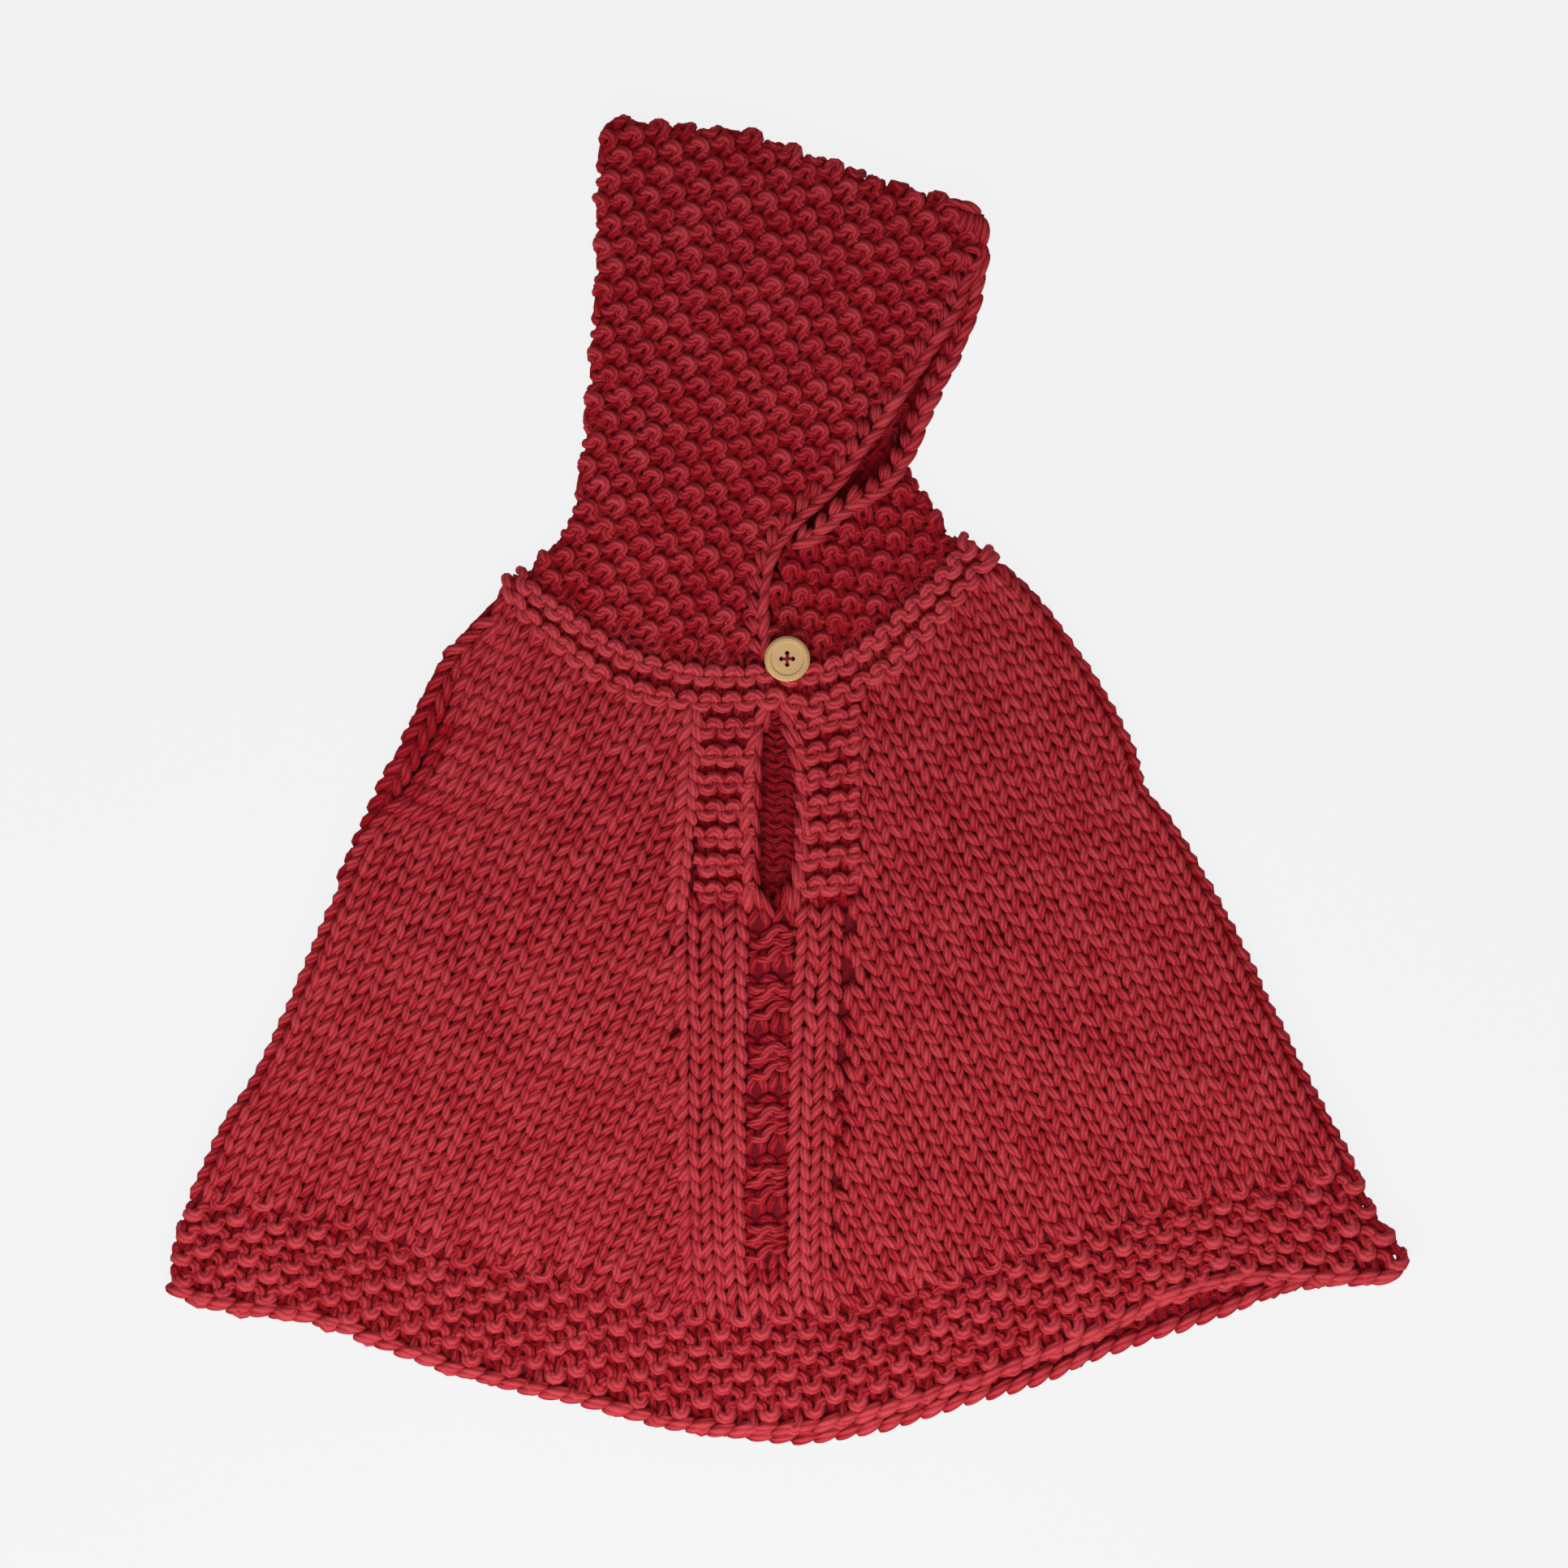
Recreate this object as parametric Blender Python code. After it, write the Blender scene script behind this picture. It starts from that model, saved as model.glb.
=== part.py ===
"""A child's hooded poncho in chunky knitting, laid flat with its hood folded to one side.

Metres, +Z up. The garment lies on the plane z = 0, with its hem towards -Y and its hood towards +Y, and the
origin is under the middle of its outline. All sizes and places below are in millimetres. The back layer rests
on the plane, and the front layer lies on the back with a little air under its soft folds.
"""

from collections import namedtuple

import bpy
import numpy as np

MM = 0.001

# The cloth
WALL = 5.0  # thickness of the knitting
AIR = 0.5  # least air between cloth that lies on cloth
SEAM = 0.4  # gap between two pieces at a seam
EDGE_ROUND = 1.5  # how far a rounded edge is drawn in, and how far it drops
PUFF = 1.3  # how high the front layer floats above the back away from its sides
PUFF_RUN = 26.0  # distance from the outline over which it rises to that height

# What is raised on the cloth
RIDGE = 1.7  # height of a garter ridge
CHAIN = 1.3  # height of a chain of edge stitches
PLACKET_RIDGES = 7
LADDER_BLOCKS = 6
LADDER_SIDES = (-17.5, 3.0)
LADDER_FIRST = 8.0  # from the band's top edge to the first purl block
LADDER_STEP = 26.2
LADDER_BLOCK = 16.0  # length of one block, two purl rows
LADDER_SLOPE = 1.3  # how wide the slope at a block's ends is
SHARP_DEGREES = 50.0  # an edge that turns by more than this is shaded sharp

# The button
BUTTON_ACROSS = 20.0
BUTTON_THICK = 3.6
BUTTON_AT = (0.0, 54.0)
BUTTON_LIFT = 14.4  # height of its underside
BUTTON_ROUND = 1.1
DISH_RADIUS = 7.6
DISH_DEPTH = 0.6
HOLE_RADIUS = 1.05
HOLE_CIRCLE = 2.5
BUTTON_SIDES = 32
HOLE_SIDES = 10

WOOL_RED = (0.42, 0.035, 0.045)
LIGHT_WOOD = (0.60, 0.40, 0.18)

# Points where pieces meet, as (x, y)
CORNERS = {
    "left shoulder": (-124, 87),
    "left hood root": (-115, 93),
    "right shoulder": (92, 98),
    "right hood root": (73, 108),
    "slit top": (-4.5, 33.5),
    "throat": (-6, 56),
    "left placket top": (-43, 32),
    "left placket foot": (-50.3, -55),
    "slit foot left": (-10.2, -55),
    "slit foot right": (-2.6, -55),
    "right placket foot": (31.4, -55),
    "right placket top": (32, 38.5),
    "band foot left": (-44.6, -238.3),
    "band foot right": (19, -236.5),
    "left hem top": (-264.2, -186),
    "right hem top": (252, -172),
    "left hem corner": (-272.4, -226),
    "right hem corner": (269, -222),
    "hood tip": (-81, 291),
    "hood front corner": (88, 250),
    "hood notch": (53.5, 141.5),
    "chain meeting": (1, 100),
}

# Edges between those points: first corner, the (x, y) points between, last corner
EDGES = {
    "left side": (
        "left shoulder",
        ((-141, 69.5), (-154, 53), (-164, 33), (-177, 2), (-201.5, -55), (-229.5, -120), (-249, -152)),
        "left hem top",
    ),
    "arm slit": (
        "left shoulder",
        ((-135.5, 62), (-144, 45), (-152, 24), (-167.5, -4), (-184, -20), (-202, -57), (-229.5, -120),
         (-249, -152)),
        "left hem top",
    ),
    "right side": (
        "right shoulder",
        ((112, 78.5), (136, 45), (152, 16), (158.5, -5), (171, -20), (196, -63), (224, -120)),
        "right hem top",
    ),
    "left hem side": ("left hem top", ((-270, -200.5),), "left hem corner"),
    "right hem side": ("right hem top", ((261, -191), (272, -205), (274, -214)), "right hem corner"),
    "left hem line": (
        "left hem top",
        ((-233, -189), (-190, -197.5), (-151, -211), (-102, -219.5), (-69, -231)),
        "band foot left",
    ),
    "band hem line": ("band foot left", (), "band foot right"),
    "right hem line": (
        "band foot right",
        ((46.5, -228), (82, -219), (117, -203), (153, -194), (188, -183.5), (224, -178.5)),
        "right hem top",
    ),
    "front cast-on": (
        "left hem corner",
        ((-262, -231), (-240, -236), (-212, -239.5), (-180, -250.5), (-140, -264.5), (-90, -276),
         (-49, -287), (-12, -289), (25, -285.5), (70, -272), (117, -255), (150, -240.5), (172, -229.5),
         (206, -221.8), (240, -223)),
        "right hem corner",
    ),
    "back hem line": (
        "left hem top",
        ((-190, -200), (-100, -225), (-20, -243), (30, -242), (100, -222), (170, -196)),
        "right hem top",
    ),
    "back cast-on": (
        "left hem corner",
        ((-212, -237.5), (-140, -262.5), (-90, -275), (-49, -286), (-20, -291.5), (7, -293.4),
         (37.5, -289), (73, -278.5), (110, -267.5), (149, -251.5), (188, -239), (215, -228.5),
         (240, -224)),
        "right hem corner",
    ),
    "left band side": ("left placket foot", ((-48, -120), (-46, -180)), "band foot left"),
    "right band side": ("right placket foot", ((27, -120), (22.5, -180)), "band foot right"),
    "left placket side": ("left placket top", ((-45.5, -10),), "left placket foot"),
    "right placket side": ("right placket top", ((32.3, -10),), "right placket foot"),
    "slit left": (
        "slit top",
        ((-6.3, 27), (-9.8, 15), (-11.2, 0), (-11.9, -20), (-11.9, -40)),
        "slit foot left",
    ),
    "slit right": (
        "slit top",
        ((-2.7, 24), (0.8, 8), (3, -9), (2.6, -27), (0.2, -43)),
        "slit foot right",
    ),
    "left placket base": ("left placket foot", (), "slit foot left"),
    "right placket base": ("slit foot right", (), "right placket foot"),
    "left neck seam": (
        "left shoulder",
        ((-120, 75), (-106.5, 62.5), (-93, 51), (-79.5, 41.5), (-61, 34.8)),
        "left placket top",
    ),
    "left placket head": ("left placket top", ((-22, 31.8),), "slit top"),
    "right placket head": ("slit top", ((4, 30), (14, 30.5)), "right placket top"),
    "right neck seam": (
        "right placket top",
        ((48, 49), (64, 66), (74.5, 77), (86, 90.5)),
        "right shoulder",
    ),
    "left crease": (
        "left hood root",
        ((-98, 81), (-80, 69.8), (-62, 60.6), (-40, 55.5), (-22, 54.5)),
        "throat",
    ),
    "right crease": (
        "throat",
        ((6, 55.8), (15, 57.5), (27, 62.5), (39, 72), (50, 81.5), (61, 91.5), (68.5, 101)),
        "right hood root",
    ),
    "collar front": ("slit top", (), "throat"),
    "left collar end": ("left shoulder", ((-121.5, 91.5),), "left hood root"),
    "right collar end": ("right shoulder", ((87, 104), (80, 107.5)), "right hood root"),
    "back neck seam": (
        "left shoulder",
        ((-90, 70), (-50, 60), (-15, 57.5), (25, 63), (60, 78)),
        "right shoulder",
    ),
    "back crease": (
        "left hood root",
        ((-80, 84.5), (-45, 79), (-12, 77.5), (20, 82.5), (50, 94)),
        "right hood root",
    ),
    "hood back": (
        "left hood root",
        ((-103.5, 107), (-96, 120), (-92.5, 140), (-89.5, 170), (-86.5, 210), (-85, 250), (-84, 279)),
        "hood tip",
    ),
    "hood top": (
        "hood tip",
        ((-74, 294), (-60, 291.7), (-38, 289.5), (-19, 288), (12, 277), (55, 263), (78, 255.8)),
        "hood front corner",
    ),
    "near edge": (
        "throat",
        ((-7, 80), (-3.5, 97), (7, 112), (23, 127), (37, 146), (51, 165.5), (65, 187), (78, 207),
         (83, 221), (88, 231)),
        "hood front corner",
    ),
    "far edge": (
        "hood notch",
        ((60, 155), (66, 172), (74.5, 189), (80, 209), (87, 229)),
        "hood front corner",
    ),
    "neck fold": ("right hood root", ((71, 111), (68.5, 117), (62.5, 125), (57.5, 132)), "hood notch"),
    "far chain": ("chain meeting", ((10, 107.5), (25, 119), (38.5, 130)), "hood notch"),
    "neck gap": ("throat", ((-5.2, 80), (-2, 95)), "chain meeting"),
}

# The largest soft folds of the front layer. turn is the fold's direction in degrees from +X, and a fold whose
# height is negative is a valley.
Fold = namedtuple("Fold", "x y turn half_length half_width height")
FOLDS = (
    Fold(-125, -95, 62, 120, 44, 1.9),
    Fold(118, -75, -60, 125, 50, 1.9),
    Fold(128, 30, 25, 34, 16, 0.9),
    Fold(105, -10, 28, 34, 11, -1.2),
    Fold(-49, -205, 86, 85, 10, -3.0),
    Fold(-78, -238, 70, 60, 14, 1.3),
    Fold(-14, -190, 90, 90, 20, 1.6),
    Fold(-46, -266, 75, 22, 14, -1.4),
    Fold(225, -207, 20, 26, 12, -1.6),
    Fold(150, -212, 20, 60, 18, 1.2),
    Fold(-20, 215, 60, 70, 42, 1.8),
    Fold(-14, 126, 62, 34, 20, -2.2),
    Fold(-70, 112, 40, 40, 22, 1.2),
    Fold(48, 164, 55, 60, 11, 1.6),
    Fold(32, 110, 45, 26, 13, -2.6),
    Fold(30, 128, 42, 34, 6, 2.0),
)

UNDER_Z = WALL + AIR  # lowest the front layer lies
MIDDLE = np.array([0.3, 0.3, 0])  # the middle of the finished outline, in the coordinates above


def catmull_rom(points, steps=12):
    """A smooth line through the points: a cubic on each stretch, cut into steps. Its slope at a point is that
    of the line between the point's neighbours."""
    points = np.array(points, float)
    if len(points) == 2:
        share = np.linspace(0, 1, steps + 1)[:, None]
        return points[0] * (1 - share) + points[1] * share
    ends = np.vstack([2 * points[0] - points[1], points, 2 * points[-1] - points[-2]])
    before, start, end, after = ends[:-3, None], ends[1:-2, None], ends[2:-1, None], ends[3:, None]
    t = np.linspace(0, 1, steps, endpoint=False)[None, :, None]
    bend = 2 * before - 5 * start + 4 * end - after
    twist = 3 * (start - end) + after - before
    stretches = start + 0.5 * t * (end - before + t * (bend + t * twist))
    return np.vstack([stretches.reshape(-1, 2), points[-1:]])


def edge(name, back=False):
    """The named edge as a dense line, turned round where back is set."""
    first, middle, last = EDGES[name]
    line = catmull_rom([CORNERS[first], *middle, CORNERS[last]])
    return line[::-1] if back else line


def joined(*lines):
    """Lines end to end as one line, each shared point kept once."""
    return np.vstack([lines[0]] + [line[1:] for line in lines[1:]])


def lengths(line):
    """Distance along the line to each of its points."""
    return np.concatenate([[0], np.cumsum(np.linalg.norm(np.diff(line, axis=0), axis=1))])


def at(line, shares):
    """Points of the line at these shares of its length."""
    run = lengths(line)
    return np.stack([np.interp(np.asarray(shares) * run[-1], run, line[:, k]) for k in (0, 1)], axis=1)


def margin_shares(count, margin):
    """Even shares from 0 to 1, with one more close to each end, where an edge rounds over."""
    return np.concatenate([[0], np.linspace(margin, 1 - margin, count), [1]])


def shared_shares(lines, shares):
    """Shares of the joined lines' length that keep the points each line has at its own shares, so that a
    piece has the same points along a seam as its neighbours."""
    long_each = np.array([lengths(line)[-1] for line in lines])
    starts = np.concatenate([[0], np.cumsum(long_each)]) / long_each.sum()
    parts = [starts[k] + (starts[k + 1] - starts[k]) * np.asarray(own) for k, own in enumerate(shares)]
    return np.unique(np.round(np.concatenate(parts), 9))


def patch(low, high, left, right, across, up):
    """Points [row, column] of a surface between four lines: the mean of the two ruled surfaces, less the one
    that the corners rule (a Coons patch)."""
    bottom, top = at(low, across)[None], at(high, across)[None]
    west, east = at(left, up)[:, None], at(right, up)[:, None]
    s, t = across[None, :, None], up[:, None, None]
    corners = (1 - s) * (1 - t) * low[0] + s * (1 - t) * low[-1] + (1 - s) * t * high[0] + s * t * high[-1]
    return (1 - t) * bottom + t * top + (1 - s) * west + s * east - corners


def outline():
    """The garment's outer line, all round."""
    return joined(
        edge("left side"), edge("left hem side"), edge("back cast-on"), edge("right hem side", True),
        edge("right side", True), edge("right collar end"), edge("neck fold"), edge("far edge"),
        edge("hood top", True), edge("hood back", True), edge("left collar end", True),
    )


def outline_distance(points, line):
    """Least distance from each point to the line's straight stretches."""
    start, run = line[:-1], np.diff(line, axis=0)
    size = np.maximum((run**2).sum(axis=1), 1e-9)
    offset = points[..., None, :] - start
    share = np.clip((offset * run).sum(axis=-1) / size, 0, 1)
    return np.linalg.norm(offset - share[..., None] * run, axis=-1).min(axis=-1)


OUTLINE = outline()


def front_under(points):
    """Height of the front layer's underside: it rests on the back along the outline and floats up by PUFF
    inside it, and each fold adds a soft long bump or valley,
    height * exp(-(along / half length)^2 - (aside / half width)^2)."""
    rise = np.clip(outline_distance(points, OUTLINE) / PUFF_RUN, 0, 1)
    rise = rise * rise * (3 - 2 * rise)
    loft = np.full(points.shape[:-1], PUFF)
    for fold in FOLDS:
        way = np.array([np.cos(np.radians(fold.turn)), np.sin(np.radians(fold.turn))])
        offset = points - np.array([fold.x, fold.y])
        along = offset @ way / fold.half_length
        aside = offset @ np.array([-way[1], way[0]]) / fold.half_width
        loft = loft + fold.height * np.exp(-(along**2) - aside**2)
    return UNDER_Z + rise * np.maximum(loft, 0.0)


def inward(loop):
    """Unit steps into the area that a counter-clockwise loop bounds, longer at a corner so that both of its
    sides move by one unit."""
    ahead = np.roll(loop, -1, axis=0) - loop
    ahead = ahead / np.linalg.norm(ahead, axis=1, keepdims=True)
    behind = np.roll(ahead, 1, axis=0)
    left_of = np.stack([-ahead[:, 1], ahead[:, 0]], axis=1)
    left_of_last = np.stack([-behind[:, 1], behind[:, 0]], axis=1)
    total = left_of + left_of_last
    return total / np.maximum((total * left_of).sum(axis=1, keepdims=True), 0.6)


def rim_loop(rows, columns):
    """Row and column numbers of a grid's outer points, counter-clockwise from the low left corner, and the
    side of each: 0 low, 1 right, 2 high, 3 left."""
    low = [(0, c) for c in range(columns - 1)]
    right = [(r, columns - 1) for r in range(rows - 1)]
    high = [(rows - 1, c) for c in range(columns - 1, 0, -1)]
    left = [(r, 0) for r in range(rows - 1, 0, -1)]
    side = [0] * len(low) + [1] * len(right) + [2] * len(high) + [3] * len(left)
    return np.array(low + right + high + left), np.array(side)


# How each kind of edge closes the wall: drawn in at its underside and at its top, in units of EDGE_ROUND
RIMS = {"seam": (0, 0), "free": (1, 1), "upper fold": (0, 1.5), "lower fold": (1.5, 0)}


def wall(name, plan, under, over, rims):
    """A closed wall of cloth over the plan points [row, column], from the under heights to the over heights.
    The rims name its low, right, high and left edges. A rounded edge has its top or underside points drawn in
    and moved towards its middle line, which stays on the outline."""
    rows, columns = plan.shape[:2]
    loop, side = rim_loop(rows, columns)
    plan, under, over = plan.copy(), under.copy(), over.copy()
    rim_plan = plan[loop[:, 0], loop[:, 1]]
    step = inward(rim_plan)
    rim_plan = rim_plan + step * SEAM / 2
    closing = np.array([RIMS[rims[k]] for k in side], float)
    corner = side != np.roll(side, 1)
    closing[corner] = np.maximum(closing, np.roll([RIMS[rims[k]] for k in side], 1, axis=0))[corner]
    rim_under, rim_over = under[loop[:, 0], loop[:, 1]], over[loop[:, 0], loop[:, 1]]
    middle = (rim_under + rim_over + EDGE_ROUND * (closing[:, 0] - closing[:, 1])) / 2
    plan_under, plan_over = plan.copy(), plan.copy()
    plan_under[loop[:, 0], loop[:, 1]] = rim_plan + step * EDGE_ROUND * closing[:, :1]
    plan_over[loop[:, 0], loop[:, 1]] = rim_plan + step * EDGE_ROUND * closing[:, 1:]
    under[loop[:, 0], loop[:, 1]] += EDGE_ROUND * closing[:, 0]
    over[loop[:, 0], loop[:, 1]] -= EDGE_ROUND * closing[:, 1]

    points = np.concatenate([
        np.dstack([plan_under, under]).reshape(-1, 3),
        np.dstack([plan_over, over]).reshape(-1, 3),
        np.column_stack([rim_plan, middle]),
    ])
    number = np.arange(rows * columns).reshape(rows, columns)
    cells = np.stack([number[:-1, :-1], number[:-1, 1:], number[1:, 1:], number[1:, :-1]], axis=-1)
    cells = cells.reshape(-1, 4)
    low_rim = number[loop[:, 0], loop[:, 1]]
    high_rim = low_rim + number.size
    mid_rim = 2 * number.size + np.arange(len(loop))
    band_low = np.stack([low_rim, np.roll(low_rim, -1), np.roll(mid_rim, -1), mid_rim], axis=-1)
    band_high = np.stack([mid_rim, np.roll(mid_rim, -1), np.roll(high_rim, -1), high_rim], axis=-1)
    faces = np.concatenate([cells[:, ::-1], cells + number.size, band_low, band_high])
    return solid(name, points, faces, WOOL)


def material(name, colour, roughness):
    """A plain Principled surface."""
    made = bpy.data.materials.new(name)
    made.use_nodes = True
    shader = made.node_tree.nodes["Principled BSDF"]
    shader.inputs["Base Color"].default_value = (*colour, 1)
    shader.inputs["Roughness"].default_value = roughness
    shader.inputs["Metallic"].default_value = 0
    return made


def solid(name, points, faces, surface):
    """An object of these points (mm) and faces, moved so that the garment's middle is over the origin."""
    mesh = bpy.data.meshes.new(name)
    mesh.from_pydata(((points - MIDDLE) * MM).tolist(), [], faces.tolist())
    mesh.shade_smooth()
    mesh.set_sharp_from_angle(angle=np.radians(SHARP_DEGREES))
    mesh.materials.append(surface)
    made = bpy.data.objects.new(name, mesh)
    bpy.context.collection.objects.link(made)
    return made


def garter(share, centres, half_width):
    """Ridges across a band: at each centre a bump of the form cos^2, this half width to its feet."""
    away = np.abs(np.asarray(share)[..., None] - np.asarray(centres)) / half_width
    return RIDGE * (np.cos(np.clip(away, 0, 1) * np.pi / 2) ** 2).max(axis=-1)


def back_layer(name, plan, rims):
    """A piece of the back layer: flat underneath, flat inside."""
    flat = np.zeros(plan.shape[:2])
    wall(name, plan, flat, flat + WALL, rims)


def front_layer(name, plan, rims, relief=0.0):
    """A piece of the front layer, with what is raised on its outer points."""
    under = front_under(plan)
    wall(name, plan, under, under + WALL + relief, rims)


# Where the columns of points lie across a panel, the centre band's foot and a placket, and where the rows lie
# up a hem, and up a panel beside the band and beside a placket
FRONT_ACROSS = margin_shares(10, 0.03)
BAND_ACROSS = np.linspace(0, 1, 4)
PLACKET_ACROSS = np.array([0, 0.09, 0.24, 0.5, 0.76, 0.91, 1])
HEM_UP = np.array([0, 0.12, 0.5, 0.88, 1])
BESIDE_BAND = np.append(0, np.linspace(0.035, 1, 8))
BESIDE_PLACKET = np.append(np.linspace(0, 0.93, 5), 1)


def make_back():
    across, up = margin_shares(15, 0.015), margin_shares(9, 0.02)
    plan = patch(edge("back hem line"), edge("back neck seam"), edge("left side", True),
                 edge("right side", True), across, up)
    back_layer("back_panel", plan, ("seam", "lower fold", "seam", "lower fold"))
    hem = patch(edge("back cast-on"), edge("back hem line"), edge("left hem side", True),
                edge("right hem side", True), across, HEM_UP)
    back_layer("back_hem", hem, ("free", "lower fold", "seam", "lower fold"))


def make_front_panels():
    seams = [edge("left band side", True), edge("left placket side", True)]
    left = patch(edge("left hem line"), edge("left neck seam"), edge("arm slit", True), joined(*seams),
                 FRONT_ACROSS, shared_shares(seams, (BESIDE_BAND, BESIDE_PLACKET)))
    front_layer("front_left_panel", left, ("seam", "seam", "seam", "upper fold"))
    seams = [edge("right band side", True), edge("right placket side", True)]
    right = patch(edge("right hem line"), edge("right neck seam"), joined(*seams), edge("right side", True),
                  FRONT_ACROSS, shared_shares(seams, (BESIDE_BAND, BESIDE_PLACKET)))
    front_layer("front_right_panel", right, ("seam", "upper fold", "seam", "seam"))


def make_front_hem():
    """A seed-stitch band under the two panels and the centre band."""
    lines = [edge("left hem line"), edge("band hem line"), edge("right hem line")]
    across = shared_shares(lines, (FRONT_ACROSS, BAND_ACROSS, FRONT_ACROSS))
    plan = patch(edge("front cast-on"), joined(*lines), edge("left hem side", True),
                 edge("right hem side", True), across, HEM_UP)
    front_layer("front_hem", plan, ("free", "upper fold", "seam", "upper fold"))


def make_centre_band():
    """Knit columns either side of a ladder: each purl block is two raised rows."""
    left = edge("left band side")
    right = edge("right band side")
    band_length = lengths(left)[-1]
    starts = LADDER_FIRST + LADDER_STEP * np.arange(LADDER_BLOCKS)
    places = (starts[:, None] + np.linspace(0, LADDER_BLOCK, 5)).ravel()
    places = np.concatenate([[0, starts[0] / 2], places, [(places[-1] + band_length) / 2, band_length]])
    shares = places / band_length
    west, east = at(left, shares), at(right, shares)
    low, high = LADDER_SIDES
    lines = np.array([low - 2 * LADDER_SLOPE, low + LADDER_SLOPE, (low + high) / 2, high - LADDER_SLOPE,
                      high + 2 * LADDER_SLOPE])
    spans = (lines[None] - west[:, :1]) / (east[:, :1] - west[:, :1])
    outer = np.ones((len(shares), 1))
    fractions = np.hstack([0 * outer, spans[:, :1] / 2, spans, (1 + spans[:, -1:]) / 2, outer])[..., None]
    plan = (west[:, None] * (1 - fractions) + east[:, None] * fractions)[::-1]
    purl_row = LADDER_BLOCK / 2
    purl_rows = starts[:, None] + purl_row * np.array([0.5, 1.5])
    bumps = garter(places, purl_rows.ravel(), purl_row / 2)
    on_ladder = np.array([0, 0, 0, 1, 1, 1, 0, 0, 0])
    front_layer("front_centre_band", plan, ("seam", "seam", "seam", "seam"), bumps[::-1, None] * on_ladder)


def make_placket(name, low, high, left, right, chain_column, rims):
    """Garter ridges across, and a chain of edge stitches along the slit."""
    up = np.linspace(0, 1, 4 * PLACKET_RIDGES + 1)
    plan = patch(low, high, left, right, PLACKET_ACROSS, up)
    ridges = garter(up, (np.arange(PLACKET_RIDGES) + 0.5) / PLACKET_RIDGES, 0.5 / PLACKET_RIDGES)
    on_ridge = np.array([0, 0, 1, 1, 1, 0, 0])
    on_chain = np.zeros(len(PLACKET_ACROSS))
    on_chain[chain_column] = CHAIN
    front_layer(name, plan, rims, ridges[:, None] * on_ridge + on_chain)


def make_plackets():
    make_placket("placket_left", edge("left placket base"), edge("left placket head"),
                 edge("left placket side", True), edge("slit left", True),
                 chain_column=5, rims=("seam", "free", "seam", "seam"))
    make_placket("placket_right", edge("right placket base"), edge("right placket head"),
                 edge("slit right", True), edge("right placket side", True),
                 chain_column=1, rims=("seam", "seam", "seam", "free"))


COLLAR_UP = np.array([0, 0.12, 0.28, 0.44, 0.52, 0.62, 0.76, 0.9, 1])
COLLAR_RIDGES = (0.28, 0.76)


def make_collar():
    """The neckband: two garter ridges along it in front, plain round the back."""
    ridges = garter(COLLAR_UP, COLLAR_RIDGES, 0.2)[:, None]
    seams = [edge("left neck seam"), edge("left placket head")]
    left = patch(joined(*seams), edge("left crease"), edge("left collar end"), edge("collar front"),
                 shared_shares(seams, (FRONT_ACROSS, PLACKET_ACROSS)), COLLAR_UP)
    front_layer("collar_left", left, ("seam", "seam", "seam", "upper fold"), ridges)
    seams = [edge("right placket head"), edge("right neck seam")]
    right = patch(joined(*seams), edge("right crease"), edge("collar front"), edge("right collar end"),
                  shared_shares(seams, (PLACKET_ACROSS, FRONT_ACROSS)), COLLAR_UP)
    front_layer("collar_right", right, ("seam", "upper fold", "seam", "seam"), ridges)
    back = patch(edge("back neck seam"), edge("back crease"), edge("left collar end"),
                 edge("right collar end"), margin_shares(13, 0.02), np.array([0, 0.5, 1]))
    back_layer("collar_back", back, ("seam", "lower fold", "seam", "lower fold"))


def make_hood():
    across, up = margin_shares(9, 0.04), margin_shares(13, 0.025)
    near = patch(edge("left crease"), edge("hood top"), edge("hood back"), edge("near edge"), across, up)
    on_chain = np.zeros(len(across))
    on_chain[-2] = CHAIN
    front_layer("hood_near_side", near, ("seam", "free", "upper fold", "upper fold"), on_chain)
    far = patch(edge("back crease"), edge("hood top"), edge("hood back"),
                joined(edge("neck fold"), edge("far edge")), across, up)
    back_layer("hood_far_side", far, ("seam", "free", "lower fold", "lower fold"))
    corner_up = margin_shares(6, 0.08)
    corner = patch(edge("right crease"), edge("far chain"), edge("neck gap"), edge("neck fold"),
                   margin_shares(8, 0.04), corner_up)
    corner_chain = np.zeros((len(corner_up), 1))
    corner_chain[-2] = CHAIN
    front_layer("hood_neck_right", corner, ("seam", "upper fold", "free", "free"), corner_chain)


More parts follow.
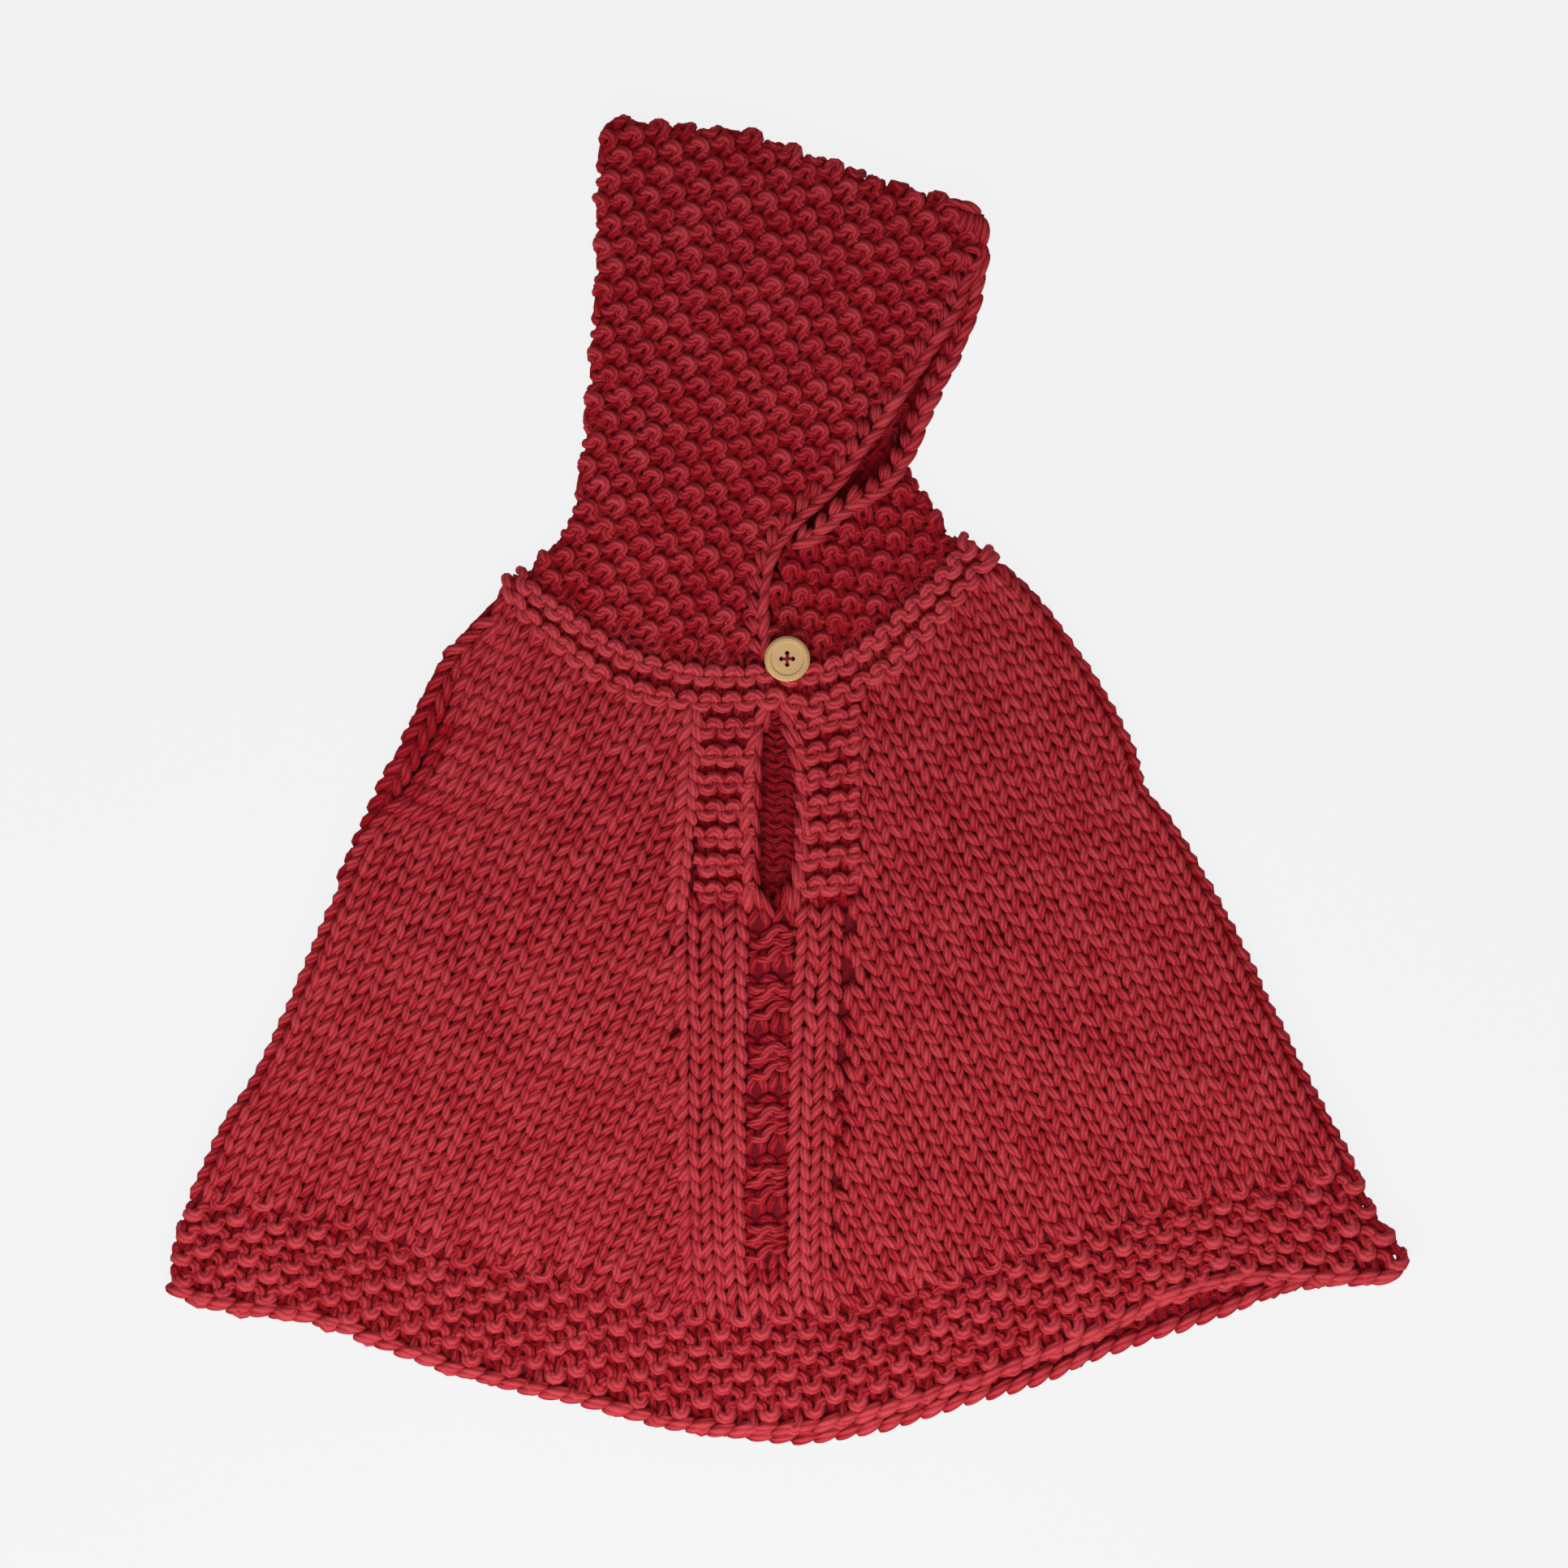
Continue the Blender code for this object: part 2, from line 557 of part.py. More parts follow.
def make_button():
    """A turned disc with a rounded rim and a shallow dish, and four holes through it in a diamond."""
    radius = BUTTON_ACROSS / 2
    profile = np.array([
        (radius - BUTTON_ROUND, 0), (radius, BUTTON_ROUND), (radius, BUTTON_THICK - BUTTON_ROUND),
        (radius - BUTTON_ROUND, BUTTON_THICK), (DISH_RADIUS, BUTTON_THICK),
        (DISH_RADIUS - DISH_DEPTH, BUTTON_THICK - DISH_DEPTH),
    ])
    turn = np.linspace(0, 2 * np.pi, BUTTON_SIDES, endpoint=False)
    ring = np.stack([np.cos(turn), np.sin(turn)], axis=1)
    rings = [np.column_stack([ring * r, np.full(len(ring), z)]) for r, z in profile]
    points = np.vstack(rings) + np.array([*BUTTON_AT, BUTTON_LIFT])
    number = np.arange(len(points)).reshape(len(profile), BUTTON_SIDES)
    beside = np.roll(number, -1, axis=1)
    sides = np.stack([number[:-1], beside[:-1], beside[1:], number[1:]], axis=-1).reshape(-1, 4)
    faces = [*sides.tolist(), number[0][::-1].tolist(), number[-1].tolist()]
    button = solid("button", points, np.array(faces, dtype=object), WOOD)
    for k in range(4):
        angle = np.pi / 2 * k
        centre = np.array(BUTTON_AT) + HOLE_CIRCLE * np.array([np.cos(angle), np.sin(angle)])
        cutter = hole_cutter(f"button_hole_{k + 1}", centre)
        cut = button.modifiers.new(cutter.name, "BOOLEAN")
        cut.operation = "DIFFERENCE"
        cut.object = cutter


def hole_cutter(name, centre):
    """A round rod through the button at this centre."""
    bpy.ops.mesh.primitive_cylinder_add(
        vertices=HOLE_SIDES, radius=HOLE_RADIUS * MM, depth=3 * BUTTON_THICK * MM,
        location=(np.array([*centre, BUTTON_LIFT + BUTTON_THICK / 2]) - MIDDLE) * MM)
    cutter = bpy.context.object
    cutter.name = name
    cutter.hide_render = True
    cutter.display_type = "WIRE"
    return cutter


for leftover in list(bpy.data.objects):
    bpy.data.objects.remove(leftover, do_unlink=True)

WOOL = material("red_wool", WOOL_RED, 0.95)
WOOD = material("light_wood", LIGHT_WOOD, 0.5)

make_back()
make_front_panels()
make_centre_band()
make_front_hem()
make_plackets()
make_collar()
make_hood()
make_button()
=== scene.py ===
"""A child's hooded poncho, hand-knitted in chunky red wool, laid flat on a pale floor and seen from
straight above.

Every stitch is a loop of yarn. Sizes and places are in millimetres in the garment's own plan, with the hem
towards -Y and the hood towards +Y, and become metres over the row's origin when a mesh is made.
"""

from collections import namedtuple

import bpy
import numpy as np
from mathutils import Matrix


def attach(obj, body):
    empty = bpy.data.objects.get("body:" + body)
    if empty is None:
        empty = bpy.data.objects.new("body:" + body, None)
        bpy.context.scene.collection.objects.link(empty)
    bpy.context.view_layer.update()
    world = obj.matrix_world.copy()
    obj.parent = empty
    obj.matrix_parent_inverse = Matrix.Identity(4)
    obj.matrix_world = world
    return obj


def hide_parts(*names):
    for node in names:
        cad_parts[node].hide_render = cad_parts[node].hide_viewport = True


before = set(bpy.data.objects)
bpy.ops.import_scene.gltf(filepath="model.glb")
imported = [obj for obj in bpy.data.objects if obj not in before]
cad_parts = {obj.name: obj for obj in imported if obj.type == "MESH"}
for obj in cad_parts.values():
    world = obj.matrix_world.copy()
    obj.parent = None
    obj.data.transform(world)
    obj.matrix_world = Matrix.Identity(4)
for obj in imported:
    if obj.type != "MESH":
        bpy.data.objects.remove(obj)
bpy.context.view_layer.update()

MM = 0.001
MIDDLE = np.array([0.3, 0.3, 0])  # the middle of the finished outline, in the plan

# The cloth, as in the solids
WALL = 5.0  # thickness of the knitting
AIR = 0.5  # least air between cloth that lies on cloth
UNDER_Z = WALL + AIR  # lowest the front layer lies
PUFF = 1.3  # how far it floats up inside the outline
PUFF_RUN = 26.0  # over this distance from the outline

# The layers of stitches: the middle of the back's and of the front's, and the turn of the cloth at a side
# fold
BACK_MID = 2.6
FRONT_MID = 2.6  # above the front layer's underside
TURN_RADIUS = (UNDER_Z + FRONT_MID - BACK_MID) / 2
TURN_Z = BACK_MID + TURN_RADIUS
TURN_INSET = TURN_RADIUS + 2.4  # from the outline to the line that the cloth turns about
TURN_REACH = 14.0  # cloth this far past the outline still turns under
TURN_END = 2.8  # radians of the turn that the stitches go round
FLOOR_Z = 0.05  # lowest that yarn lies
GRID = 0.357  # one step of the drawing's own grid
GRID_MIDDLE = np.array([970, 963.5])  # the plan's zero on this grid

CORNERS = {
    "left shoulder": (-124, 87),
    "left hood root": (-115, 93),
    "right shoulder": (92, 98),
    "right hood root": (73, 108),
    "slit top": (-4.5, 33.5),
    "throat": (-6, 56),
    "left placket top": (-43, 32),
    "left placket foot": (-50.3, -55),
    "slit foot left": (-10.2, -55),
    "slit foot right": (-2.6, -55),
    "right placket foot": (31.4, -55),
    "right placket top": (32, 38.5),
    "band foot left": (-44.6, -238.3),
    "band foot right": (19, -236.5),
    "left hem top": (-264.2, -186),
    "right hem top": (252, -172),
    "left hem corner": (-272.4, -226),
    "right hem corner": (269, -222),
    "hood tip": (-81, 291),
    "hood front corner": (88, 250),
    "hood notch": (53.5, 141.5),
    "chain meeting": (1, 100),
}

# Each edge of the pieces: a corner, places on the way and a corner
EDGES = {
    "left side": ("left shoulder", (-141, 69.5), (-154, 53), (-164, 33), (-177, 2), (-201.5, -55),
        (-229.5, -120), (-249, -152), "left hem top"),
    "arm slit": ("left shoulder", (-135.5, 62), (-144, 45), (-152, 24), (-167.5, -4), (-184, -20),
        (-202, -57), (-229.5, -120), (-249, -152), "left hem top"),
    "right side": ("right shoulder", (112, 78.5), (136, 45), (152, 16), (158.5, -5), (171, -20),
        (196, -63), (224, -120), "right hem top"),
    "left hem side": ("left hem top", (-270, -200.5), "left hem corner"),
    "right hem side": ("right hem top", (261, -191), (272, -205), (274, -214), "right hem corner"),
    "left hem line": ("left hem top", (-233, -189), (-190, -197.5), (-151, -211), (-102, -219.5),
        (-69, -231), "band foot left"),
    "band hem line": ("band foot left", "band foot right"),
    "right hem line": ("band foot right", (46.5, -228), (82, -219), (117, -203), (153, -194),
        (188, -183.5), (224, -178.5), "right hem top"),
    "front cast-off": ("left hem corner", (-262, -231), (-240, -236), (-212, -239.5), (-180, -250.5),
        (-140, -264.5), (-90, -276), (-49, -287), (-12, -289), (25, -285.5), (70, -272), (117, -255),
        (150, -240.5), (172, -229.5), (206, -221.8), (240, -223), "right hem corner"),
    "back hem line": ("left hem top", (-190, -200), (-100, -225), (-20, -243), (30, -242), (100, -222),
        (170, -196), "right hem top"),
    "back cast-off": ("left hem corner", (-212, -237.5), (-140, -262.5), (-90, -275), (-49, -286),
        (-20, -291.5), (7, -293.4), (37.5, -289), (73, -278.5), (110, -267.5), (149, -251.5), (188, -239),
        (215, -228.5), (240, -224), "right hem corner"),
    "left band side": ("left placket foot", (-48, -120), (-46, -180), "band foot left"),
    "right band side": ("right placket foot", (27, -120), (22.5, -180), "band foot right"),
    "left placket side": ("left placket top", (-45.5, -10), "left placket foot"),
    "right placket side": ("right placket top", (32.3, -10), "right placket foot"),
    "slit left": ("slit top", (-6.3, 27), (-9.8, 15), (-11.2, 0), (-11.9, -20), (-11.9, -40),
        "slit foot left"),
    "slit right": ("slit top", (-2.7, 24), (0.8, 8), (3, -9), (2.6, -27), (0.2, -43), "slit foot right"),
    "left placket base": ("left placket foot", "slit foot left"),
    "right placket base": ("slit foot right", "right placket foot"),
    "left neck seam": ("left shoulder", (-120, 75), (-106.5, 62.5), (-93, 51), (-79.5, 41.5), (-61, 34.8),
        "left placket top"),
    "left placket head": ("left placket top", (-22, 31.8), "slit top"),
    "right placket head": ("slit top", (4, 30), (14, 30.5), "right placket top"),
    "right neck seam": ("right placket top", (48, 49), (64, 66), (74.5, 77), (86, 90.5), "right shoulder"),
    "left crease": ("left hood root", (-98, 81), (-80, 69.8), (-62, 60.6), (-40, 55.5), (-22, 54.5),
        "throat"),
    "right crease": ("throat", (6, 55.8), (15, 57.5), (27, 62.5), (39, 72), (50, 81.5), (61, 91.5),
        (68.5, 101), "right hood root"),
    "collar front": ("slit top", "throat"),
    "left collar end": ("left shoulder", (-121.5, 91.5), "left hood root"),
    "right collar end": ("right shoulder", (87, 104), (80, 107.5), "right hood root"),
    "back neck seam": ("left shoulder", (-90, 70), (-50, 60), (-15, 57.5), (25, 63), (60, 78),
        "right shoulder"),
    "back crease": ("left hood root", (-80, 84.5), (-45, 79), (-12, 77.5), (20, 82.5), (50, 94),
        "right hood root"),
    "hood back": ("left hood root", (-103.5, 107), (-96, 120), (-92.5, 140), (-89.5, 170), (-86.5, 210),
        (-85, 250), (-84, 279), "hood tip"),
    "hood top": ("hood tip", (-74, 294), (-60, 291.7), (-38, 289.5), (-19, 288), (12, 277), (55, 263),
        (78, 255.8), "hood front corner"),
    "near edge": ("throat", (-7, 80), (-3.5, 97), (7, 112), (23, 127), (37, 146), (51, 165.5), (65, 187),
        (78, 207), (83, 221), (88, 231), "hood front corner"),
    "far edge": ("hood notch", (60, 155), (66, 172), (74.5, 189), (80, 209), (87, 229),
        "hood front corner"),
    "neck fold": ("right hood root", (71, 111), (68.5, 117), (62.5, 125), (57.5, 132), "hood notch"),
    "far chain": ("chain meeting", (10, 107.5), (25, 119), (38.5, 130), "hood notch"),
    "neck gap": ("throat", (-5.2, 80), (-2, 95), "chain meeting"),
}

Fold = namedtuple("Fold", "x y turn half_length half_width height")
FOLDS = (
    Fold(-125, -95, 62, 120, 44, 1.9),
    Fold(118, -75, -60, 125, 50, 1.9),
    Fold(128, 30, 25, 34, 16, 0.9),
    Fold(105, -10, 28, 34, 11, -1.2),
    Fold(-49, -205, 86, 85, 10, -3.0),
    Fold(-78, -238, 70, 60, 14, 1.3),
    Fold(-14, -190, 90, 90, 20, 1.6),
    Fold(-46, -266, 75, 22, 14, -1.4),
    Fold(225, -207, 20, 26, 12, -1.6),
    Fold(150, -212, 20, 60, 18, 1.2),
    Fold(-20, 215, 60, 70, 42, 1.8),
    Fold(-14, 126, 62, 34, 20, -2.2),
    Fold(-70, 112, 40, 40, 22, 1.2),
    Fold(48, 164, 55, 60, 11, 1.6),
    Fold(32, 110, 45, 26, 13, -2.6),
    Fold(30, 128, 42, 34, 6, 2.0),
)


# ---------------------------------------------------------------- lines and surfaces in the plan


def catmull_rom(points, steps=12):
    """A smooth line through the points: a cubic on each stretch, cut into steps. Its slope at a point is
    that of the line between the point's neighbours."""
    points = np.array(points, float)
    if len(points) == 2:
        share = np.linspace(0, 1, steps + 1)[:, None]
        return points[0] * (1 - share) + points[1] * share
    ends = np.vstack([2 * points[0] - points[1], points, 2 * points[-1] - points[-2]])
    before, start, end, after = ends[:-3, None], ends[1:-2, None], ends[2:-1, None], ends[3:, None]
    t = np.linspace(0, 1, steps, endpoint=False)[None, :, None]
    bend = 2 * before - 5 * start + 4 * end - after
    twist = 3 * (start - end) + after - before
    stretches = start + 0.5 * t * (end - before + t * (bend + t * twist))
    return np.vstack([stretches.reshape(-1, points.shape[1]), points[-1:]])


def joined(*lines):
    """Lines end to end as one line, each shared point kept once."""
    return np.vstack([lines[0]] + [line[1:] for line in lines[1:]])


def edge(*names):
    """The named edges end to end as one dense line. A minus before a name turns that edge round."""
    lines = []
    for name in names:
        first, *middle, last = EDGES[name.lstrip("-")]
        line = catmull_rom([CORNERS[first], *middle, CORNERS[last]])
        lines.append(line[::-1] if name.startswith("-") else line)
    return joined(*lines)


def lengths(line):
    """Distance along the line to each of its points."""
    return np.concatenate([[0], np.cumsum(np.linalg.norm(np.diff(line, axis=0), axis=1))])


def run(line, distance):
    """Points at these distances along the line, which goes on straight past its ends."""
    steps = lengths(line)
    distance = np.asarray(distance, float)
    between = np.stack([np.interp(distance, steps, line[:, k]) for k in (0, 1)], axis=-1)
    first = (line[1] - line[0]) / np.linalg.norm(line[1] - line[0])
    last = (line[-1] - line[-2]) / np.linalg.norm(line[-1] - line[-2])
    before = np.minimum(distance, 0)[..., None] * first
    after = np.maximum(distance - steps[-1], 0)[..., None] * last
    return between + before + after


def at(line, shares):
    """Points of the line at these shares of its length."""
    return run(line, np.asarray(shares) * lengths(line)[-1])


def aside(line, distance):
    """Unit steps to the left of the line at these distances along it, square to its course over 3 mm."""
    ahead = run(line, np.asarray(distance) + 1.5) - run(line, np.asarray(distance) - 1.5)
    ahead = ahead / np.linalg.norm(ahead, axis=-1, keepdims=True)
    return np.stack([-ahead[..., 1], ahead[..., 0]], axis=-1)


def beside(line, distance):
    """The line moved to its left by this distance."""
    return line + aside(line, lengths(line)) * distance


def patch(low, high, left, right, across, up):
    """Points [row, column] of a surface between four lines: the mean of the two ruled surfaces, less the
    one that the corners rule (a Coons patch)."""
    bottom, top = at(low, across)[None], at(high, across)[None]
    west, east = at(left, up)[:, None], at(right, up)[:, None]
    s, t = across[None, :, None], up[:, None, None]
    corners = (1 - s) * (1 - t) * low[0] + s * (1 - t) * low[-1] + (1 - s) * t * high[0] + s * t * high[-1]
    return (1 - t) * bottom + t * top + (1 - s) * west + s * east - corners


def nearest(points, starts, runs):
    """For each point, the number of the nearest straight stretch and the nearest point on it."""
    size = np.maximum((runs**2).sum(axis=1), 1e-9)
    offset = points[:, None, :] - starts[None]
    share = np.clip((offset * runs).sum(axis=-1) / size, 0, 1)
    foot = starts[None] + share[..., None] * runs
    which = np.linalg.norm(points[:, None, :] - foot, axis=-1).argmin(axis=1)
    return which, foot[np.arange(len(points)), which]


def distance_to(points, line):
    """Least distance from each point to the line."""
    flat = points.reshape(-1, 2)
    _, foot = nearest(flat, line[:-1], np.diff(line, axis=0))
    return np.linalg.norm(flat - foot, axis=1).reshape(points.shape[:-1])


def inside(points, loop):
    """True where a point is within the loop: a line to its right crosses the loop an odd number of times."""
    x, y = points[..., 0, None], points[..., 1, None]
    start, end = loop, np.roll(loop, -1, axis=0)
    rising = (start[:, 1] > y) != (end[:, 1] > y)
    slope = (end[:, 0] - start[:, 0]) / np.where(end[:, 1] == start[:, 1], 1e-9, end[:, 1] - start[:, 1])
    return (rising & (x < start[:, 0] + slope * (y - start[:, 1]))).sum(axis=-1) % 2 == 1


OUTLINE = edge("left side", "left hem side", "back cast-off", "-right hem side", "-right side",
               "right collar end", "neck fold", "far edge", "-hood top", "-hood back", "-left collar end")
# Where the front turns round into the back, counter-clockwise
TURNS = (
    edge("left side", "left hem side"),
    edge("-right hem side", "-right side", "right collar end", "neck fold"),
    edge("-hood top", "-hood back", "-left collar end"),
)
TURN_STARTS = np.vstack([line[:-1] for line in TURNS])
TURN_RUNS = np.vstack([np.diff(line, axis=0) for line in TURNS])


def front_under(points):
    """Height of the front layer's underside: it rests on the back along the outline and floats up by PUFF
    inside it, and each fold adds a soft long bump or valley,
    height * exp(-(along / half length)^2 - (aside / half width)^2)."""
    rise = np.clip(distance_to(points, OUTLINE) / PUFF_RUN, 0, 1)
    rise = rise * rise * (3 - 2 * rise)
    loft = np.full(points.shape[:-1], PUFF)
    for fold in FOLDS:
        way = np.array([np.cos(np.radians(fold.turn)), np.sin(np.radians(fold.turn))])
        offset = points - np.array([fold.x, fold.y])
        along = offset @ way / fold.half_length
        across = offset @ np.array([-way[1], way[0]]) / fold.half_width
        loft = loft + fold.height * np.exp(-(along**2) - across**2)
    return UNDER_Z + rise * np.maximum(loft, 0.0)


def px(*points):
    """Points given on the drawing's own grid, counted from its top left, as plan points."""
    return (np.array(points, float) - GRID_MIDDLE) * [GRID, -GRID]


# Small holes where the stitches beside the centre band were drawn apart by its increases
EYELETS = px((1057, 1137), (1004, 1138), (1045, 1189), (998, 1191), (1070, 1193), (1043, 1266), (997, 1258),
             (1042, 1321), (1067, 1327), (1040, 1386), (1033, 1459), (1023, 1592), (842, 1156), (827, 1148),
             (843, 1282), (833, 1272), (1066, 922), (1070, 955))
EYELET = 2.6  # mm over which the stitches make way


def parted(points):
    """Plan points moved away from each eyelet by 1.3 * distance * exp(-(distance / eyelet size)^2)."""
    away = points[:, None, :] - EYELETS[None]
    share = 1.3 * np.exp(-(away**2).sum(axis=-1) / EYELET**2)
    return points + (away * share[..., None]).sum(axis=1)


def laid(plan, lift, front, turned=True):
    """Places plan points [..., 2] on the cloth, lift above its middle surface, and gives the way out of the
    cloth there. Near a side fold the middle surface turns through half a circle from the front to the back:
    its angle is the distance past the turning line over the radius."""
    flat, lift_flat = plan.reshape(-1, 2), lift.reshape(-1)
    if front:
        flat = parted(flat)
        z = front_under(flat) + FRONT_MID + lift_flat
        out = np.tile([0.0, 0.0, 1.0], (len(flat), 1))
    else:
        z = BACK_MID - lift_flat
        out = np.tile([0.0, 0.0, -1.0], (len(flat), 1))
    place = np.column_stack([flat, z])
    if turned:
        which, foot = nearest(flat, TURN_STARTS, TURN_RUNS)
        way = TURN_RUNS[which] / np.linalg.norm(TURN_RUNS[which], axis=1, keepdims=True)
        inward = np.stack([-way[:, 1], way[:, 0]], axis=1)
        depth = ((flat - foot) * inward).sum(axis=1)
        away = np.linalg.norm(flat - foot, axis=1)
        near = np.where(depth < 0, away < TURN_REACH, away < TURN_INSET)
        angle = np.clip((TURN_INSET - depth) / TURN_RADIUS, 0, TURN_END)
        reach = TURN_RADIUS + lift_flat
        side = foot + inward * (TURN_INSET - reach * np.sin(angle))[:, None]
        sign = 1 if front else -1
        turned_z = TURN_Z + sign * reach * np.cos(angle)
        place = np.where(near[:, None], np.column_stack([side, turned_z]), place)
        turned_out = np.column_stack([-inward * np.sin(angle)[:, None], sign * np.cos(angle)])
        out = np.where(near[:, None], turned_out, out)
    return place.reshape(*plan.shape[:-1], 3), out.reshape(*plan.shape[:-1], 3)


# ---------------------------------------------------------------- meshes


def mesh_piece(name, points, quads, finish, uv=None, **marks):
    """An object of these points (mm) and four-sided faces, over the row's origin. Each mark is a number on
    every point that the material reads."""
    mesh = bpy.data.meshes.new(name)
    mesh.vertices.add(len(points))
    mesh.vertices.foreach_set("co", ((points - MIDDLE) * MM).astype(np.float32).ravel())
    mesh.loops.add(quads.size)
    mesh.loops.foreach_set("vertex_index", quads.astype(np.int32).ravel())
    mesh.polygons.add(len(quads))
    mesh.polygons.foreach_set("loop_start", np.arange(0, quads.size, 4, dtype=np.int32))
    mesh.update(calc_edges=True)
    if uv is not None:
        layer = mesh.uv_layers.new(name="yarn")
        layer.uv.foreach_set("vector", uv.astype(np.float32).ravel())
    for mark, values in marks.items():
        attribute = mesh.attributes.new(mark, "FLOAT", "POINT")
        attribute.data.foreach_set("value", values.astype(np.float32))
    mesh.shade_smooth()
    mesh.materials.append(finish)
    piece = bpy.data.objects.new(name, mesh)
    bpy.context.collection.objects.link(piece)
    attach(piece, "root")
    return piece


STITCHES = {}  # the pieces of stitches that lie on each shell, by the shell's name


def yarn(centre, out, radius, sides, tone, height):
    """Round yarn along many lines at once. centre, out [line, point, 3] and radius [line, point] give the
    middle line, the way out of the cloth and the thickness. Each ring is centre + radius * (cos * side +
    sin * top), with side square to the line and to out, and top square to both. Returns points, quads, uv
    (length along the line in mm from a start that the tone gives, share of the way round), tone and the
    height over the cloth's middle."""
    count, rings = radius.shape
    ahead = np.gradient(centre, axis=1)
    side = np.cross(ahead, out)
    side /= np.maximum(np.linalg.norm(side, axis=-1, keepdims=True), 1e-9)
    top = np.cross(side, ahead)
    top /= np.maximum(np.linalg.norm(top, axis=-1, keepdims=True), 1e-9)
    turn = np.linspace(0, 2 * np.pi, sides, endpoint=False)
    ring = side[:, :, None] * np.cos(turn)[:, None] + top[:, :, None] * np.sin(turn)[:, None]
    points = (centre[:, :, None] + radius[..., None, None] * ring).reshape(-1, 3)
    # Each point's height over the cloth's middle, from which the wool paints shade: darker where the yarn
    # lies low
    raised = height[:, :, None] + radius[..., None] * (ring * out[:, :, None]).sum(axis=-1)
    points[:, 2] = np.maximum(points[:, 2], FLOOR_Z)

    first = (np.arange(count) * rings * sides)[:, None, None]
    ring_start = first + (np.arange(rings - 1) * sides)[None, :, None]
    this, following = np.arange(sides), np.roll(np.arange(sides), -1)
    quads = np.stack([ring_start + this, ring_start + this + sides, ring_start + following + sides,
                      ring_start + following], axis=-1)
    fan = np.array([[0, k, k + 1, k + 2] for k in range(1, sides - 1, 2)])
    low_cap = first + fan[None]
    high_cap = first + (rings - 1) * sides + fan[None, :, ::-1]
    step = np.linalg.norm(np.diff(centre, axis=1), axis=-1)
    along = np.concatenate([np.zeros((count, 1)), np.cumsum(step, axis=1)], axis=1) + 37.0 * tone[:, None]
    around = np.arange(sides + 1) / sides
    low_u = np.broadcast_to(along[:, :-1, None], (count, rings - 1, sides))
    high_u = np.broadcast_to(along[:, 1:, None], (count, rings - 1, sides))
    low_v = np.broadcast_to(around[:-1], (count, rings - 1, sides))
    high_v = np.broadcast_to(around[1:], (count, rings - 1, sides))
    wall_uv = np.stack([low_u, low_v, high_u, low_v, high_u, high_v, low_u, high_v], axis=-1)
    cap_uv = np.zeros((count, 2 * len(fan), 8))
    all_quads = np.concatenate([quads.reshape(count, -1, 4), low_cap, high_cap], axis=1)
    all_uv = np.concatenate([wall_uv.reshape(count, -1, 8), cap_uv], axis=1)
    return (points, all_quads.reshape(-1, 4), all_uv.reshape(-1, 2), np.repeat(tone, rings * sides),
            raised.ravel())


def yarn_piece(name, batches, shell_name):
    """One piece of several batches of yarn, each (centre, out, radius, sides, tone, height), that lies on
    the shell of this name."""
    parts = [yarn(*batch) for batch in batches]
    shift = np.concatenate([[0], np.cumsum([len(part[0]) for part in parts])])[:-1]
    piece = mesh_piece(
        name,
        np.vstack([part[0] for part in parts]),
        np.vstack([part[1] + start for part, start in zip(parts, shift)]),
        WOOL,
        np.vstack([part[2] for part in parts]),
        tone=np.concatenate([part[3] for part in parts]),
        raised=np.concatenate([part[4] for part in parts]),
    )
    STITCHES.setdefault(shell_name, []).append(piece)


# ---------------------------------------------------------------- stitches

# How a kind of stitch lies, in the words of loops: lean and reach in stitches, depth, thin and thick in mm
Gauge = namedtuple("Gauge", "lean reach depth bump leg skew sag lobe thin thick")
KNIT = Gauge(0.235, 0.9, 1.75, 0.0, 0.4, 0.35, 0.0, 1.0, 1.3, 2.35)
CHAIN = Gauge(0.33, 0.92, 1.8, 0.0, 0.4, 0.35, 0.0, 1.0, 1.3, 2.35)
SEED = Gauge(0.165, 0.92, 1.05, 0.45, -0.05, 0.35, 0.3, 0.65, 1.8, 2.35)
HEM_SEED = Gauge(0.125, 1.0, 1.4, 0.6, 0.0, 0.5, 0.5, 0.9, 1.5, 2.85)
GARTER = Gauge(0.21, 0.88, 1.6, 0.4, 0.0, 0.1, 0.85, 1.3, 1.4, 2.1)
RIDGE = Gauge(0.2, 0.98, 1.5, 0.3, 0.0, 0.1, 0.6, 1.25, 1.7, 2.4)
LAP = 0.15  # how far, of 2 pi for one stitch, a loop's ends reach into its neighbours
UNEVEN = 1.4  # how unevenly the stitches are drawn, 1 being even handwork
random = np.random.default_rng(7)


